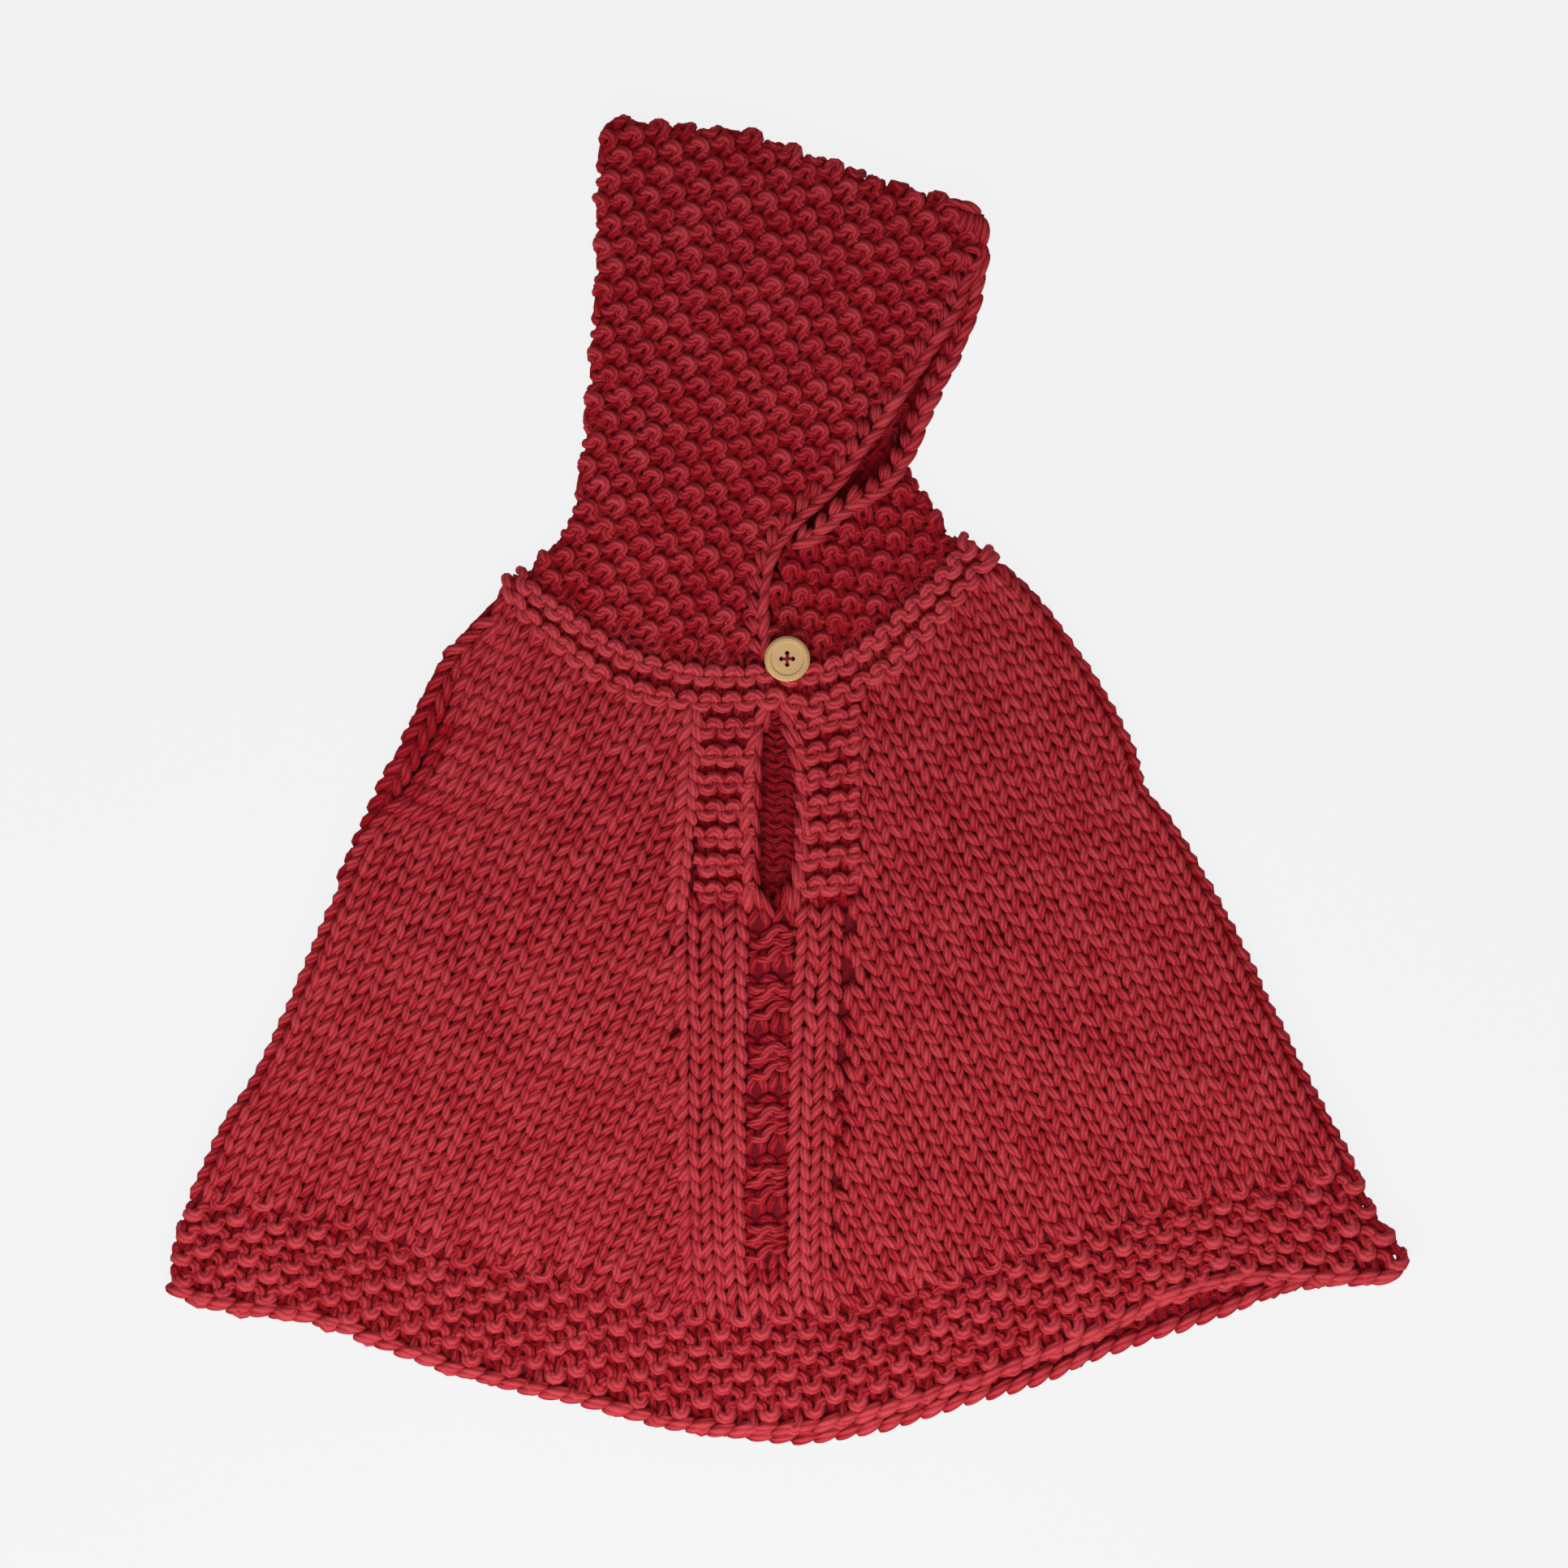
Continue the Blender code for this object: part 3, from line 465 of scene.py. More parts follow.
def loops(plan_of, signs_of, wales, rows, gauge, front=True, rings=17, sides=6, lift=0.0, turned=True,
          slant=0.0, lap=LAP):
    """Yarn loops for the stitches at these wales and rows. Over one stitch the angle goes from the middle of
    one sinker over the head to the next, from -lap to 2 pi + lap:
    across = angle / (2 pi) - 1/2 + lean * sin(2 angle), up = -reach * cos(angle), both in stitches;
    height = depth * (-own * foot^2 + own * share * sin(angle)^2 - above * head^2) + lift,
    where foot = (1 + cos(angle)) / 2, head = 1 - foot, own and above are +1 for knit and -1 for purl in this
    row and the next, and share is 1.5 where they agree. Where they don't it is the gauge's leg, more for the
    right leg than for the left by its skew, and both legs sink by its sag * sin(angle)^2. A purl stitch's
    feet are raised by its lobe, and what stands proud by 1 + bump * head^2. The head is drawn aside by the
    slant, in stitches. The yarn is thin behind the cloth and thick before it, and each loop is a little
    uneven in its lean, reach, place, height and thickness."""
    angle = np.linspace(-lap, 2 * np.pi + lap, rings)[None]
    middle = np.sin(angle / 2) ** 2
    foot = (1 + np.cos(angle)) / 2
    head = 1 - foot
    own, above = signs_of(wales, rows)[:, None], signs_of(wales, rows + 1)[:, None]
    before, after = signs_of(wales - 1, rows)[:, None], signs_of(wales + 1, rows)[:, None]
    fade = np.exp(-((angle / 0.4) ** 2)), np.exp(-(((2 * np.pi - angle) / 0.4) ** 2))
    own = own + (before - own) / 2 * fade[0] + (after - own) / 2 * fade[1]
    same = (1 + own * above) / 2
    share = 1.5 * same + (gauge.leg - gauge.skew * np.sin(angle)) * (1 - same)
    lobe = np.where(own < 0, gauge.lobe * (1 - 0.5 * gauge.skew * np.sin(angle)), 1.0)
    height = -own * lobe * foot**2 + (own * share - gauge.sag * (1 - same)) * np.sin(angle) ** 2
    height = gauge.depth * (height - above * head**2)
    height = height * (1 + gauge.bump * (height > 0) * head**2)

    count = len(wales)
    wobble = random.normal(size=(5, count, 1)) * UNEVEN
    across = angle / (2 * np.pi) - 0.5 + (gauge.lean + 0.018 * wobble[0]) * np.sin(2 * angle)
    across = across + (0.035 * wobble[2] + slant) * middle
    up = -gauge.reach * (1 + 0.03 * wobble[1] * middle) * np.cos(angle) + 0.05 * wobble[3] * middle
    plan = plan_of(wales[:, None] + 0.5 + across, rows[:, None] + up)
    lift = np.reshape(lift, (-1, 1))
    height = height + lift + 0.15 * wobble[4] * middle
    centre, out = laid(plan, height, front, turned)
    front_share = np.clip((height - lift) / gauge.depth * 0.6 + 0.5, 0, 1)
    radius = gauge.thin + (gauge.thick - gauge.thin) * front_share
    radius = radius * (1 + 0.05 * random.normal(size=(count, 1)))
    return centre, out, radius, sides, random.random(count), height


def grid(low_wale, high_wale, low_row, high_row):
    """Every wale and row number in these ranges, as two flat arrays."""
    wales, rows = np.meshgrid(np.arange(low_wale, high_wale), np.arange(low_row, high_row))
    return wales.ravel(), rows.ravel()


def keep(wales, rows, plan_of, loop, margin=0.0, clear=None, gap=0.0):
    """The stitches whose middle is inside the loop or nearer than the margin to it, and not nearer than the
    gap to the clear line. Gives wales, rows and how far each is sunk (negative) under its neighbours
    outside the loop."""
    middle = plan_of(wales + 0.5, rows + 0.0)
    depth = distance_to(middle, np.vstack([loop, loop[:1]])) * np.where(inside(middle, loop), 1, -1)
    good = depth > -margin
    if clear is not None:
        good &= distance_to(middle, clear) > gap
    return wales[good], rows[good], np.minimum(depth[good], 0) * 0.5


def all_knit(wales, rows):
    """Every stitch knit."""
    return np.ones(len(wales))


def seed(wales, rows):
    """Knit and purl by turns, both along a row and up a wale."""
    return np.where((wales + rows) % 2 == 0, 1.0, -1.0)


def garter_rows(wales, rows):
    """One row knit, the next purl."""
    return np.where(rows % 2 == 0, 1.0, -1.0)


# The body is worked downwards. Wales are counted along the hem line from the left, rows from the hem line,
# less than 0 above it.
LEFT_WALES, BAND_WALES, RIGHT_WALES = 25, 7, 25
ALL_WALES = LEFT_WALES + BAND_WALES + RIGHT_WALES
# Wales to try for a half front or half back, and for the centre band; each keeps those inside its region
PANEL_WALES = 44
BAND_FIRST, BAND_LAST = 22, 36
LADDER_AT = LEFT_WALES + 4  # the ladder's two wales lie either side of this line
LADDER_ROWS = range(-25, -3)
HEM_ROWS = 8
HEM_PITCH = 9.2  # of a wale past the hem line's ends
LEFT_STEP = np.array([[3.21, 6.78], [2.86, 5.50]])  # one row up a wale, at the side and beside the band
RIGHT_STEP = np.array([[-3.10, 6.02], [-2.86, 5.70]])
# The centre band: one row, its height in the plan, and its middle line and its pitch at the foot with what
# each gains up to the head
BAND_STEP = 6.6
BAND_FOOT_Y, BAND_HEIGHT = -236, 177
BAND_MIDDLE = (-11.2, 4.4)
BAND_PITCH = (9.15, 1.4)
BAND_AT_HEM = 66.9  # how much of the hem line lies under the band's wales

HEM_LINE = edge("left hem line", "band hem line", "right hem line")
HEM_TOTAL = lengths(HEM_LINE)[-1]
LEFT_RUN = lengths(edge("left hem line"))[-1]
BAND_RUN = LEFT_RUN + BAND_AT_HEM


def sections(wales):
    """Where these wales are the left half's, the centre band's and the right half's."""
    left, right = wales < LEFT_WALES, wales >= LEFT_WALES + BAND_WALES
    return left, ~left & ~right, right


def along_hem(u):
    """Distance along the hem line to each wale: even in each section, and at one pitch past the ends."""
    turns = [0, LEFT_WALES, LEFT_WALES + BAND_WALES, ALL_WALES]
    middle = np.interp(u, turns, [0, LEFT_RUN, BAND_RUN, HEM_TOTAL])
    return middle + HEM_PITCH * (np.minimum(u, 0) + np.maximum(u - ALL_WALES, 0))


def hem_plan(u, v, cast_off="front cast-off", line=HEM_LINE):
    """The hem: its rows go straight over 0.93 of the way from the hem line to the cast-off edge. Near each
    end they bend to follow the side, fading as exp(-wales / 3)."""
    distance, down = along_hem(u) / HEM_TOTAL, (0.93 * v / HEM_ROWS)[..., None]
    top, bottom = at(line, distance), at(edge(cast_off), distance)
    plan = top + (bottom - top) * down
    for side, from_side in (("left hem side", u), ("right hem side", ALL_WALES - u)):
        bend = edge(side)
        straight = bend[0] + (bend[-1] - bend[0]) * down
        plan = plan + (at(bend, down[..., 0]) - straight) * np.exp(-np.maximum(from_side, 0) / 3)[..., None]
    return plan


def side_shift(plan, u, start, step, side):
    """Moves wales near a side so that the outermost follows it: by the side's distance from the straight
    wale at the same height, fading as exp(-wales / 5)."""
    order = np.argsort(side[:, 1])
    edge_x = np.interp(plan[..., 1], side[order, 1], side[order, 0])
    straight_x = start[0] + (plan[..., 1] - start[1]) * step[0] / step[1]
    return plan + np.stack([(edge_x - straight_x) * np.exp(-np.maximum(u, 0) / 5), 0 * edge_x], axis=-1)


def panel_plan(side_name, left=True, line=HEM_LINE):
    """The plan of a half front or back with its hem below: point of the hem line + rows up * row step,
    whose step goes evenly from the one at the side to the one beside the band."""
    step_side, step_inner = LEFT_STEP if left else RIGHT_STEP
    side = edge(side_name)
    start = at(line, 0.0 if left else 1.0)

    def plan_of(u, v):
        u, v = np.broadcast_arrays(u, v)
        from_side = u if left else ALL_WALES - u
        share = np.clip(from_side / LEFT_WALES, 0, 1.2)[..., None]
        step = step_side * (1 - share) + step_inner * share
        up = np.maximum(-v, 0)
        body = at(line, along_hem(u) / HEM_TOTAL) + up[..., None] * step
        body = side_shift(body, from_side, start, step_side, side)
        below = hem_plan(u, v, "front cast-off" if line is HEM_LINE else "back cast-off", line)
        return np.where((v < 0)[..., None], body, below)

    return plan_of


def band_plan(u, v):
    """The centre band: upright wales whose pitch and middle line go evenly from the hem line to the
    plackets, and near the hem line bend to its own pitch as exp(-rows / 5)."""
    u, v = np.broadcast_arrays(u, v)
    foot = at(HEM_LINE, along_hem(u) / HEM_TOTAL)
    up = np.maximum(-v, 0)
    y = foot[..., 1] + BAND_STEP * up
    rise = (y - BAND_FOOT_Y) / BAND_HEIGHT
    x = BAND_MIDDLE[0] + BAND_MIDDLE[1] * rise + (u - LADDER_AT) * (BAND_PITCH[0] + BAND_PITCH[1] * rise)
    near_hem = np.exp(-up / 5)
    upper = np.stack([x * (1 - near_hem) + foot[..., 0] * near_hem, y], axis=-1)
    return np.where((v < 0)[..., None], upper, hem_plan(u, v))


def on_ladder(wales, rows):
    """True on the ladder's two wales, and on its purl rows: two rows purl and two knit by turns."""
    wale = (wales == LADDER_AT - 1) | (wales == LADDER_AT)
    return wale, wale & (rows >= LADDER_ROWS[0]) & (rows <= LADDER_ROWS[-1]) & (rows % 4 > 1)


def body_signs(wales, rows):
    """Knit above the hem line, but for the ladder's purl blocks, and seed below it."""
    wales, rows = np.broadcast_arrays(wales, rows)
    return np.where(rows >= 0, seed(wales, rows), np.where(on_ladder(wales, rows)[1], -1.0, 1.0))


def plain_body_signs(wales, rows):
    """Knit above the hem line and seed below it."""
    return np.where(rows >= 0, seed(wales, rows), 1.0)


def region(*names):
    """A closed loop of these edges."""
    return edge(*names)[:-1]


LEFT_REGION = region("left hem line", "-left band side", "-left placket side", "-left neck seam", "arm slit")
RIGHT_REGION = region("right hem line", "-right side", "-right neck seam", "right placket side",
                      "right band side")
BAND_REGION = joined(edge("band hem line", "-right band side", "-right placket base"),
                     np.array([CORNERS["slit foot right"], CORNERS["slit foot left"]], float),
                     edge("-left placket base", "left band side"))[:-1]
HOOD_REGION = region("left crease", "near edge", "-hood top", "-hood back")
NECK_REGION = region("right crease", "neck fold", "-far chain", "-neck gap")


def chain(line, pitch, width, offset, lifts, stop=0.0, **options):
    """A wale of knit stitches that follows a line, its middle this far to the line's left, and ends this
    far before the line does. Its lift over the cloth goes evenly from the first to the last of lifts."""
    total = lengths(line)[-1] - stop
    count = max(int(round(total / pitch)), 1)
    pitch = total / count

    def plan_of(u, v):
        distance = (v + 0.5) * pitch
        return run(line, distance) + aside(line, distance) * (offset - (u - 0.5) * width)[..., None]

    rows = np.arange(count)
    return loops(plan_of, all_knit, 0 * rows, rows, lift=np.linspace(*lifts, count), lap=0.0, **options)


def leaves(line, pitch, reach, insets, lift, thick, strands=1):
    """A row of long lobes of yarn along an edge, each over the end of the one before. Over the share t of a
    lobe: along = pitch * (number + 1/2 + reach * (t - 1/2)), its distance inside the edge goes evenly over
    insets and height = lift + 2.2 * sin(pi t)^0.8 - 1.4. Two strands lie side by side as one lobe. A lift
    of two numbers goes evenly from the first lobe to the last. Low lobes are lit as if they lay 0.8 over
    the cloth's middle."""
    count = int(round(lengths(line)[-1] / pitch))
    pitch = lengths(line)[-1] / count
    t = np.linspace(0, 1, 11)[None]
    number = np.repeat(np.arange(count), strands)[:, None]
    strand = np.tile(np.arange(strands) - (strands - 1) / 2, count)[:, None]
    lobes = count * strands
    along = (number + 0.5 + reach * (t - 0.5) - 0.12 * strand) * pitch
    depth = insets[0] + (insets[1] - insets[0]) * t + strand * thick * 1.25
    depth = depth + 0.3 * random.normal(size=(lobes, 1)) + 0.4 * random.normal(size=(lobes, 1)) * (t - 0.5)
    plan = run(line, along) + aside(line, along) * depth[..., None]
    lift = np.linspace(*np.broadcast_to(lift, 2), lobes)[:, None]
    height = lift - 1.4 + 2.2 * np.sin(np.pi * t) ** 0.8 + 0.2 * random.normal(size=(lobes, 1))
    centre, out = laid(plan, height, front=True, turned=False)
    radius = thick * (0.5 + 0.5 * np.sin(np.pi * t) ** 0.7) * (1 + 0.06 * random.normal(size=(lobes, 1)))
    return centre, out, radius, 6, random.random(lobes), height - np.minimum(lift - 0.8, 0)


def vees(line, pitch, middle, outer, inner, lift, thick):
    """A knit chain beside an edge: from its middle line a long lobe runs out almost along the edge, and a
    short double lobe runs in across it. Middle, outer and inner are distances inside the edge, and thick is
    the long lobe's radius and the short one's."""
    return [
        leaves(line, pitch, 0.75, (middle, inner), lift=np.add(lift, 0.2), thick=thick[1], strands=2),
        leaves(line, pitch, 1.6, (middle, outer), lift=lift, thick=thick[0]),
    ]


def lone_strands(lines, lift, thick, steps=15):
    """Strands of yarn along lines of their own, whose ends dip: height = lift + 1.6 * sin(pi t)^0.7 - 1.2,
    and radius = thick * (0.6 + 0.4 * sin(pi t)^0.6)."""
    t = np.linspace(0, 1, steps)[None]
    plan = np.stack([at(catmull_rom(line), t[0]) for line in lines])
    height = np.reshape(lift, (-1, 1)) - 1.2 + 1.6 * np.sin(np.pi * t) ** 0.7
    centre, out = laid(plan, height, front=True, turned=False)
    radius = np.reshape(thick, (-1, 1)) * (0.6 + 0.4 * np.sin(np.pi * t) ** 0.6)
    return centre, out, radius, 8, random.random(len(lines)), height


# ---------------------------------------------------------------- materials


class Amount:
    """A number that changes over a surface: a socket with Python's arithmetic."""

    def __init__(self, finish, socket):
        self.finish, self.socket = finish, socket

    def math(self, operation, *values):
        """One step of arithmetic."""
        node = self.finish.node("ShaderNodeMath", {"operation": operation}, *values)
        return Amount(self.finish, node.outputs[0])

    def __add__(self, other):
        return self.math("ADD", self, other)

    __radd__ = __add__

    def __sub__(self, other):
        return self.math("SUBTRACT", self, other)

    def __rsub__(self, other):
        return self.math("SUBTRACT", other, self)

    def __mul__(self, other):
        return self.math("MULTIPLY", self, other)

    __rmul__ = __mul__

    def __pow__(self, other):
        return self.math("POWER", self, other)

    def wave(self):
        """The sine of the value."""
        return self.math("SINE", self)

    def held(self):
        """The value kept between 0 and 1."""
        node = self.finish.node("ShaderNodeClamp", {}, self)
        return Amount(self.finish, node.outputs[0])


class Finish:
    """A material made node by node. Its Principled settings that are the same all over are set at once."""

    def __init__(self, name, **settings):
        self.material = bpy.data.materials.new(name)
        self.material.use_nodes = True
        self.shader = self.material.node_tree.nodes["Principled BSDF"]
        for socket, value in settings.items():
            self.shader.inputs[socket.replace("_", " ")].default_value = value

    def node(self, kind, settings, *values, **named):
        """A node with these settings and inputs, which are plain values or come from other nodes."""
        made = self.material.node_tree.nodes.new(kind)
        for setting, value in settings.items():
            setattr(made, setting, value)
        for socket, value in [*zip(made.inputs, values), *((made.inputs[k], v) for k, v in named.items())]:
            if isinstance(value, Amount):
                value = value.socket
            if isinstance(value, bpy.types.NodeSocket):
                self.material.node_tree.links.new(value, socket)
            else:
                socket.default_value = value
        return made

    def noise(self, where, scale, detail=2.0, roughness=0.5):
        """Soft blotches, this many to a metre."""
        made = self.node("ShaderNodeTexNoise", {}, Vector=where, Scale=scale, Detail=detail,
                         Roughness=roughness)
        return Amount(self, made.outputs["Fac"])

    def blend(self, share, low, high):
        """A colour between two."""
        made = self.node("ShaderNodeMix", {"data_type": "RGBA"}, Factor=share)
        made.inputs[6].default_value = (*low, 1)
        made.inputs[7].default_value = (*high, 1)
        return made.outputs[2]

    def join(self, socket, value):
        """Feeds one input of the shader."""
        value = value.socket if isinstance(value, Amount) else value
        self.material.node_tree.links.new(value, self.shader.inputs[socket])

    def bump(self, height, depth, strength):
        """Relief of this depth in metres where height goes from 0 to 1."""
        made = self.node("ShaderNodeBump", {}, Height=height, Distance=depth, Strength=strength)
        self.join("Normal", made.outputs["Normal"])


def wool():
    """Plied wool: a tone for each stitch, soft blotches, the twist of five fine plies, and fibres. Its colour
    also holds painted shade: it is painted lighter where the yarn stands high over the cloth's middle, and
    darker where it lies low and between the plies, where shade falls."""
    finish = Finish("red_wool_yarn", Roughness=0.95, Sheen_Weight=0.14, Sheen_Roughness=0.5,
                    Sheen_Tint=(1.0, 0.3, 0.3, 1), Specular_IOR_Level=0.03)
    place = finish.node("ShaderNodeTexCoord", {}).outputs["Object"]
    tone = Amount(finish, finish.node("ShaderNodeAttribute", {"attribute_name": "tone"}).outputs["Fac"])
    uv = finish.node("ShaderNodeUVMap", {"uv_map": "yarn"}).outputs["UV"]
    split = finish.node("ShaderNodeSeparateXYZ", {}, uv)
    along, around = Amount(finish, split.outputs[0]), Amount(finish, split.outputs[1])
    blotch = finish.noise(place, 60.0, 3.0)
    fibre = finish.noise(place, 900.0, 3.0, 0.6)
    speck = finish.noise(place, 2600.0, 2.0, 0.6)
    ply = ((around * 5 + along * 0.13 + blotch * 0.7) * (2 * np.pi)).wave() * 0.5 + 0.5
    # Painted shade: darker between the plies
    painted_ply_shade = (1 - ply) ** 3.0
    raised = Amount(finish, finish.node("ShaderNodeAttribute", {"attribute_name": "raised"}).outputs["Fac"])
    # Painted light and shade: lighter where the yarn stands high, darker where it lies low in the cloth
    proud = ((raised - 0.6) * 0.24).held()
    # The colour's share: the stitch's own tone, blotches and fibres, with the painted light and shade above
    light = (proud * 0.9 + tone * 0.28 + blotch * 0.4 + fibre * 0.7 - 0.62 - painted_ply_shade * 0.55).held()
    finish.join("Base Color", finish.blend(light, (0.33, 0.005, 0.013), (0.63, 0.066, 0.083)))
    finish.bump(ply * 0.8 + fibre * 0.8 + speck * 0.5, 0.0006, 1.0)
    return finish.material


def backing():
    """The inside of the knitting behind the front stitches: dull, and painted darker than the yarn as
    painted shade in the gaps between the stitches.
    """
    finish = Finish("red_wool_inside_painted_shade", Roughness=1.0, Specular_IOR_Level=0.05)
    place = finish.node("ShaderNodeTexCoord", {}).outputs["Object"]
    blotch, fibre = finish.noise(place, 160.0, 3.0), finish.noise(place, 1200.0, 3.0, 0.6)
    # Painted shade: dark reds, darker than the yarn's, for the shaded gaps between stitches
    finish.join("Base Color", finish.blend((blotch * 0.6 + fibre * 0.5 - 0.1).held(),
                                           (0.15, 0.008, 0.018), (0.28, 0.014, 0.026)))
    finish.bump(fibre, 0.0008, 0.7)
    return finish.material


def wood():
    """Light satin wood: fine pores, soft clouds, and growth rings round a heart beyond its lower right rim
    that fade with the distance from it."""
    finish = Finish("light_wood_grain", Roughness=0.42, Coat_Weight=0.15, Coat_Roughness=0.3)
    place = finish.node("ShaderNodeTexCoord", {}).outputs["Object"]
    stretched = finish.node("ShaderNodeMapping", {}, Vector=place, Rotation=(0, 0, 0.6),
                            Scale=(1.0, 9.0, 1.0)).outputs[0]
    heart = tuple((np.array([*(BUTTON_AT + HEART_FROM_BUTTON), BUTTON_TOP]) - MIDDLE) * MM)
    radius = finish.node("ShaderNodeVectorMath", {"operation": "DISTANCE"}, place, heart).outputs["Value"]
    radius = Amount(finish, radius) + finish.noise(place, 260.0) * GROWTH_RING
    ring = ((radius * (2 * np.pi / GROWTH_RING)).wave() * 0.5 + 0.5) ** 4
    ring = ring * (1 - (radius - 0.009) * 110).held()
    pore = finish.noise(stretched, 900.0, 2.0)
    cloud = finish.noise(place, 220.0, 2.0)
    light = (pore * 0.5 + cloud * 0.5 - ring * 0.55).held()
    finish.join("Base Color", finish.blend(light, (0.52, 0.30, 0.11), (0.80, 0.54, 0.26)))
    finish.join("Roughness", 0.42 + pore * 0.2)
    finish.bump(pore * 0.5 - ring * 0.5, 0.00012, 0.4)
    return finish.material


def floor_paint():
    """A plain pale light table."""
    finish = Finish("pale_floor", Roughness=0.9, Specular_IOR_Level=0.0, Base_Color=(0.05, 0.051, 0.051, 1),
                    Emission_Color=(0.995, 1.0, 1.0, 1), Emission_Strength=0.855)
    return finish.material


BUTTON_AT, BUTTON_TOP = np.array([0.0, 54.0]), 18.0
HEART_FROM_BUTTON = np.array([11.0, -12.0])  # the heart of the wood, from the button's middle
GROWTH_RING = 0.0012  # metres from one ring to the next
WOOL, INSIDE, WOOD = wool(), backing(), wood()

# ---------------------------------------------------------------- camera, light and floor

VIEW_WIDTH = 1932 * GRID  # how much of the floor the view shows
VIEW_MIDDLE = (-1.4, -0.9)
VIEW_LEVEL = 10.0  # the view is this wide at this height over the floor


def make_view():
    """A camera with a long lens, straight above the plan's picture middle."""
    camera = bpy.data.cameras.new("camera")
    camera.lens, camera.sensor_width = 170.0, 36.0
    camera.clip_end = 20.0
    seat = bpy.data.objects.new("camera", camera)
    height = VIEW_WIDTH * camera.lens / camera.sensor_width
    seat.location = ((np.array([*VIEW_MIDDLE, height + VIEW_LEVEL]) - MIDDLE) * MM).tolist()
    bpy.context.collection.objects.link(seat)
    bpy.context.scene.camera = seat


def make_light(name, place, size, power, colour):
    """A soft square lamp (metres) that faces the garment."""
    lamp = bpy.data.lights.new(name, "AREA")
    lamp.shape, lamp.size, lamp.energy, lamp.color = "SQUARE", size, power, colour
    holder = bpy.data.objects.new(name, lamp)
    holder.location = place
    way = -np.array(place, float)
    flat = np.hypot(way[0], way[1])
    holder.rotation_euler = (np.arctan2(flat, -way[2]), 0, np.arctan2(way[1], way[0]) - np.pi / 2)
    bpy.context.collection.objects.link(holder)


def make_stage():
    """The pale table, two soft lamps and an even white sky."""
    floor = bpy.data.meshes.new("floor")
    far = 6.0  # metres from the middle to each side
    floor.from_pydata([(-far, -far, 0), (far, -far, 0), (far, far, 0), (-far, far, 0)], [], [(0, 1, 2, 3)])
    floor.materials.append(floor_paint())
    slab = bpy.data.objects.new("floor", floor)
    bpy.context.collection.objects.link(slab)
    make_light("key light", (-0.08, -0.74, 0.72), 0.8, 9.5, (1.0, 0.98, 0.96))
    make_light("fill light", (-1.6, 0.8, 2.0), 2.2, 4, (0.96, 0.98, 1.0))
    sky = bpy.data.worlds.new("studio")
    sky.use_nodes = True
    sky.node_tree.nodes["Background"].inputs[0].default_value = (1, 1, 1, 1)
    sky.node_tree.nodes["Background"].inputs[1].default_value = 0.33
    bpy.context.scene.world = sky
    bpy.context.scene.view_settings.view_transform = "Standard"


make_view()
make_stage()

# ---------------------------------------------------------------- the cloth behind the stitches

THIN = 1.2  # thickness of the cloth behind the stitches


def shell(name, node, low_of, low, high, left, right, across, up):
    """A thin closed shell of cloth between four lines, its underside at low_of(plan). Its columns and rows
    of points are even shares: from, to and how many. It stands for the solid of this node."""
    plan = patch(low, high, left, right, np.linspace(*across), np.linspace(*up))
    rows, columns = plan.shape[:2]
    under = low_of(plan)
    number = np.arange(rows * columns).reshape(rows, columns)
    cells = np.stack([number[:-1, :-1], number[:-1, 1:], number[1:, 1:], number[1:, :-1]], axis=-1)
    cells = cells.reshape(-1, 4)
    loop = np.concatenate([number[0, :-1], number[:-1, -1], number[-1, :0:-1], number[:0:-1, 0]])
    ahead = np.roll(loop, -1)
    walls = np.stack([loop, ahead, ahead + number.size, loop + number.size], axis=-1)
    points = np.concatenate([np.dstack([plan, z]).reshape(-1, 3) for z in (under, under + THIN)])
    # The cloth's dark colour is painted shade for the gaps between the stitches
    piece = mesh_piece(name, points, np.concatenate([cells[:, ::-1], cells + number.size, walls]), INSIDE)
    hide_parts(node)


def front_low(plan):
    """Underside of the front layer's inner cloth, in the floor of the stitches: 0.1 over its own."""
    return front_under(plan) + 0.1


def panel_low(plan):
    """Underside of the inner cloth of close stitches: 0.8 over the layer's own, less a dip of
    1.6 * exp(-(distance / 5)^2) under each eyelet, and never under 0.05."""
    flat = plan.reshape(-1, 2)
    away = ((flat[:, None, :] - EYELETS[None]) ** 2).sum(axis=-1)
    dip = 1.6 * np.exp(-away / 25).max(axis=1).reshape(plan.shape[:-1])
    return front_under(plan) + np.maximum(0.8 - dip, 0.05)


def back_low(plan):
    """Underside of the back layer's inner cloth, level with its stitches' middle."""
    return np.full(plan.shape[:-1], BACK_MID - THIN / 2)


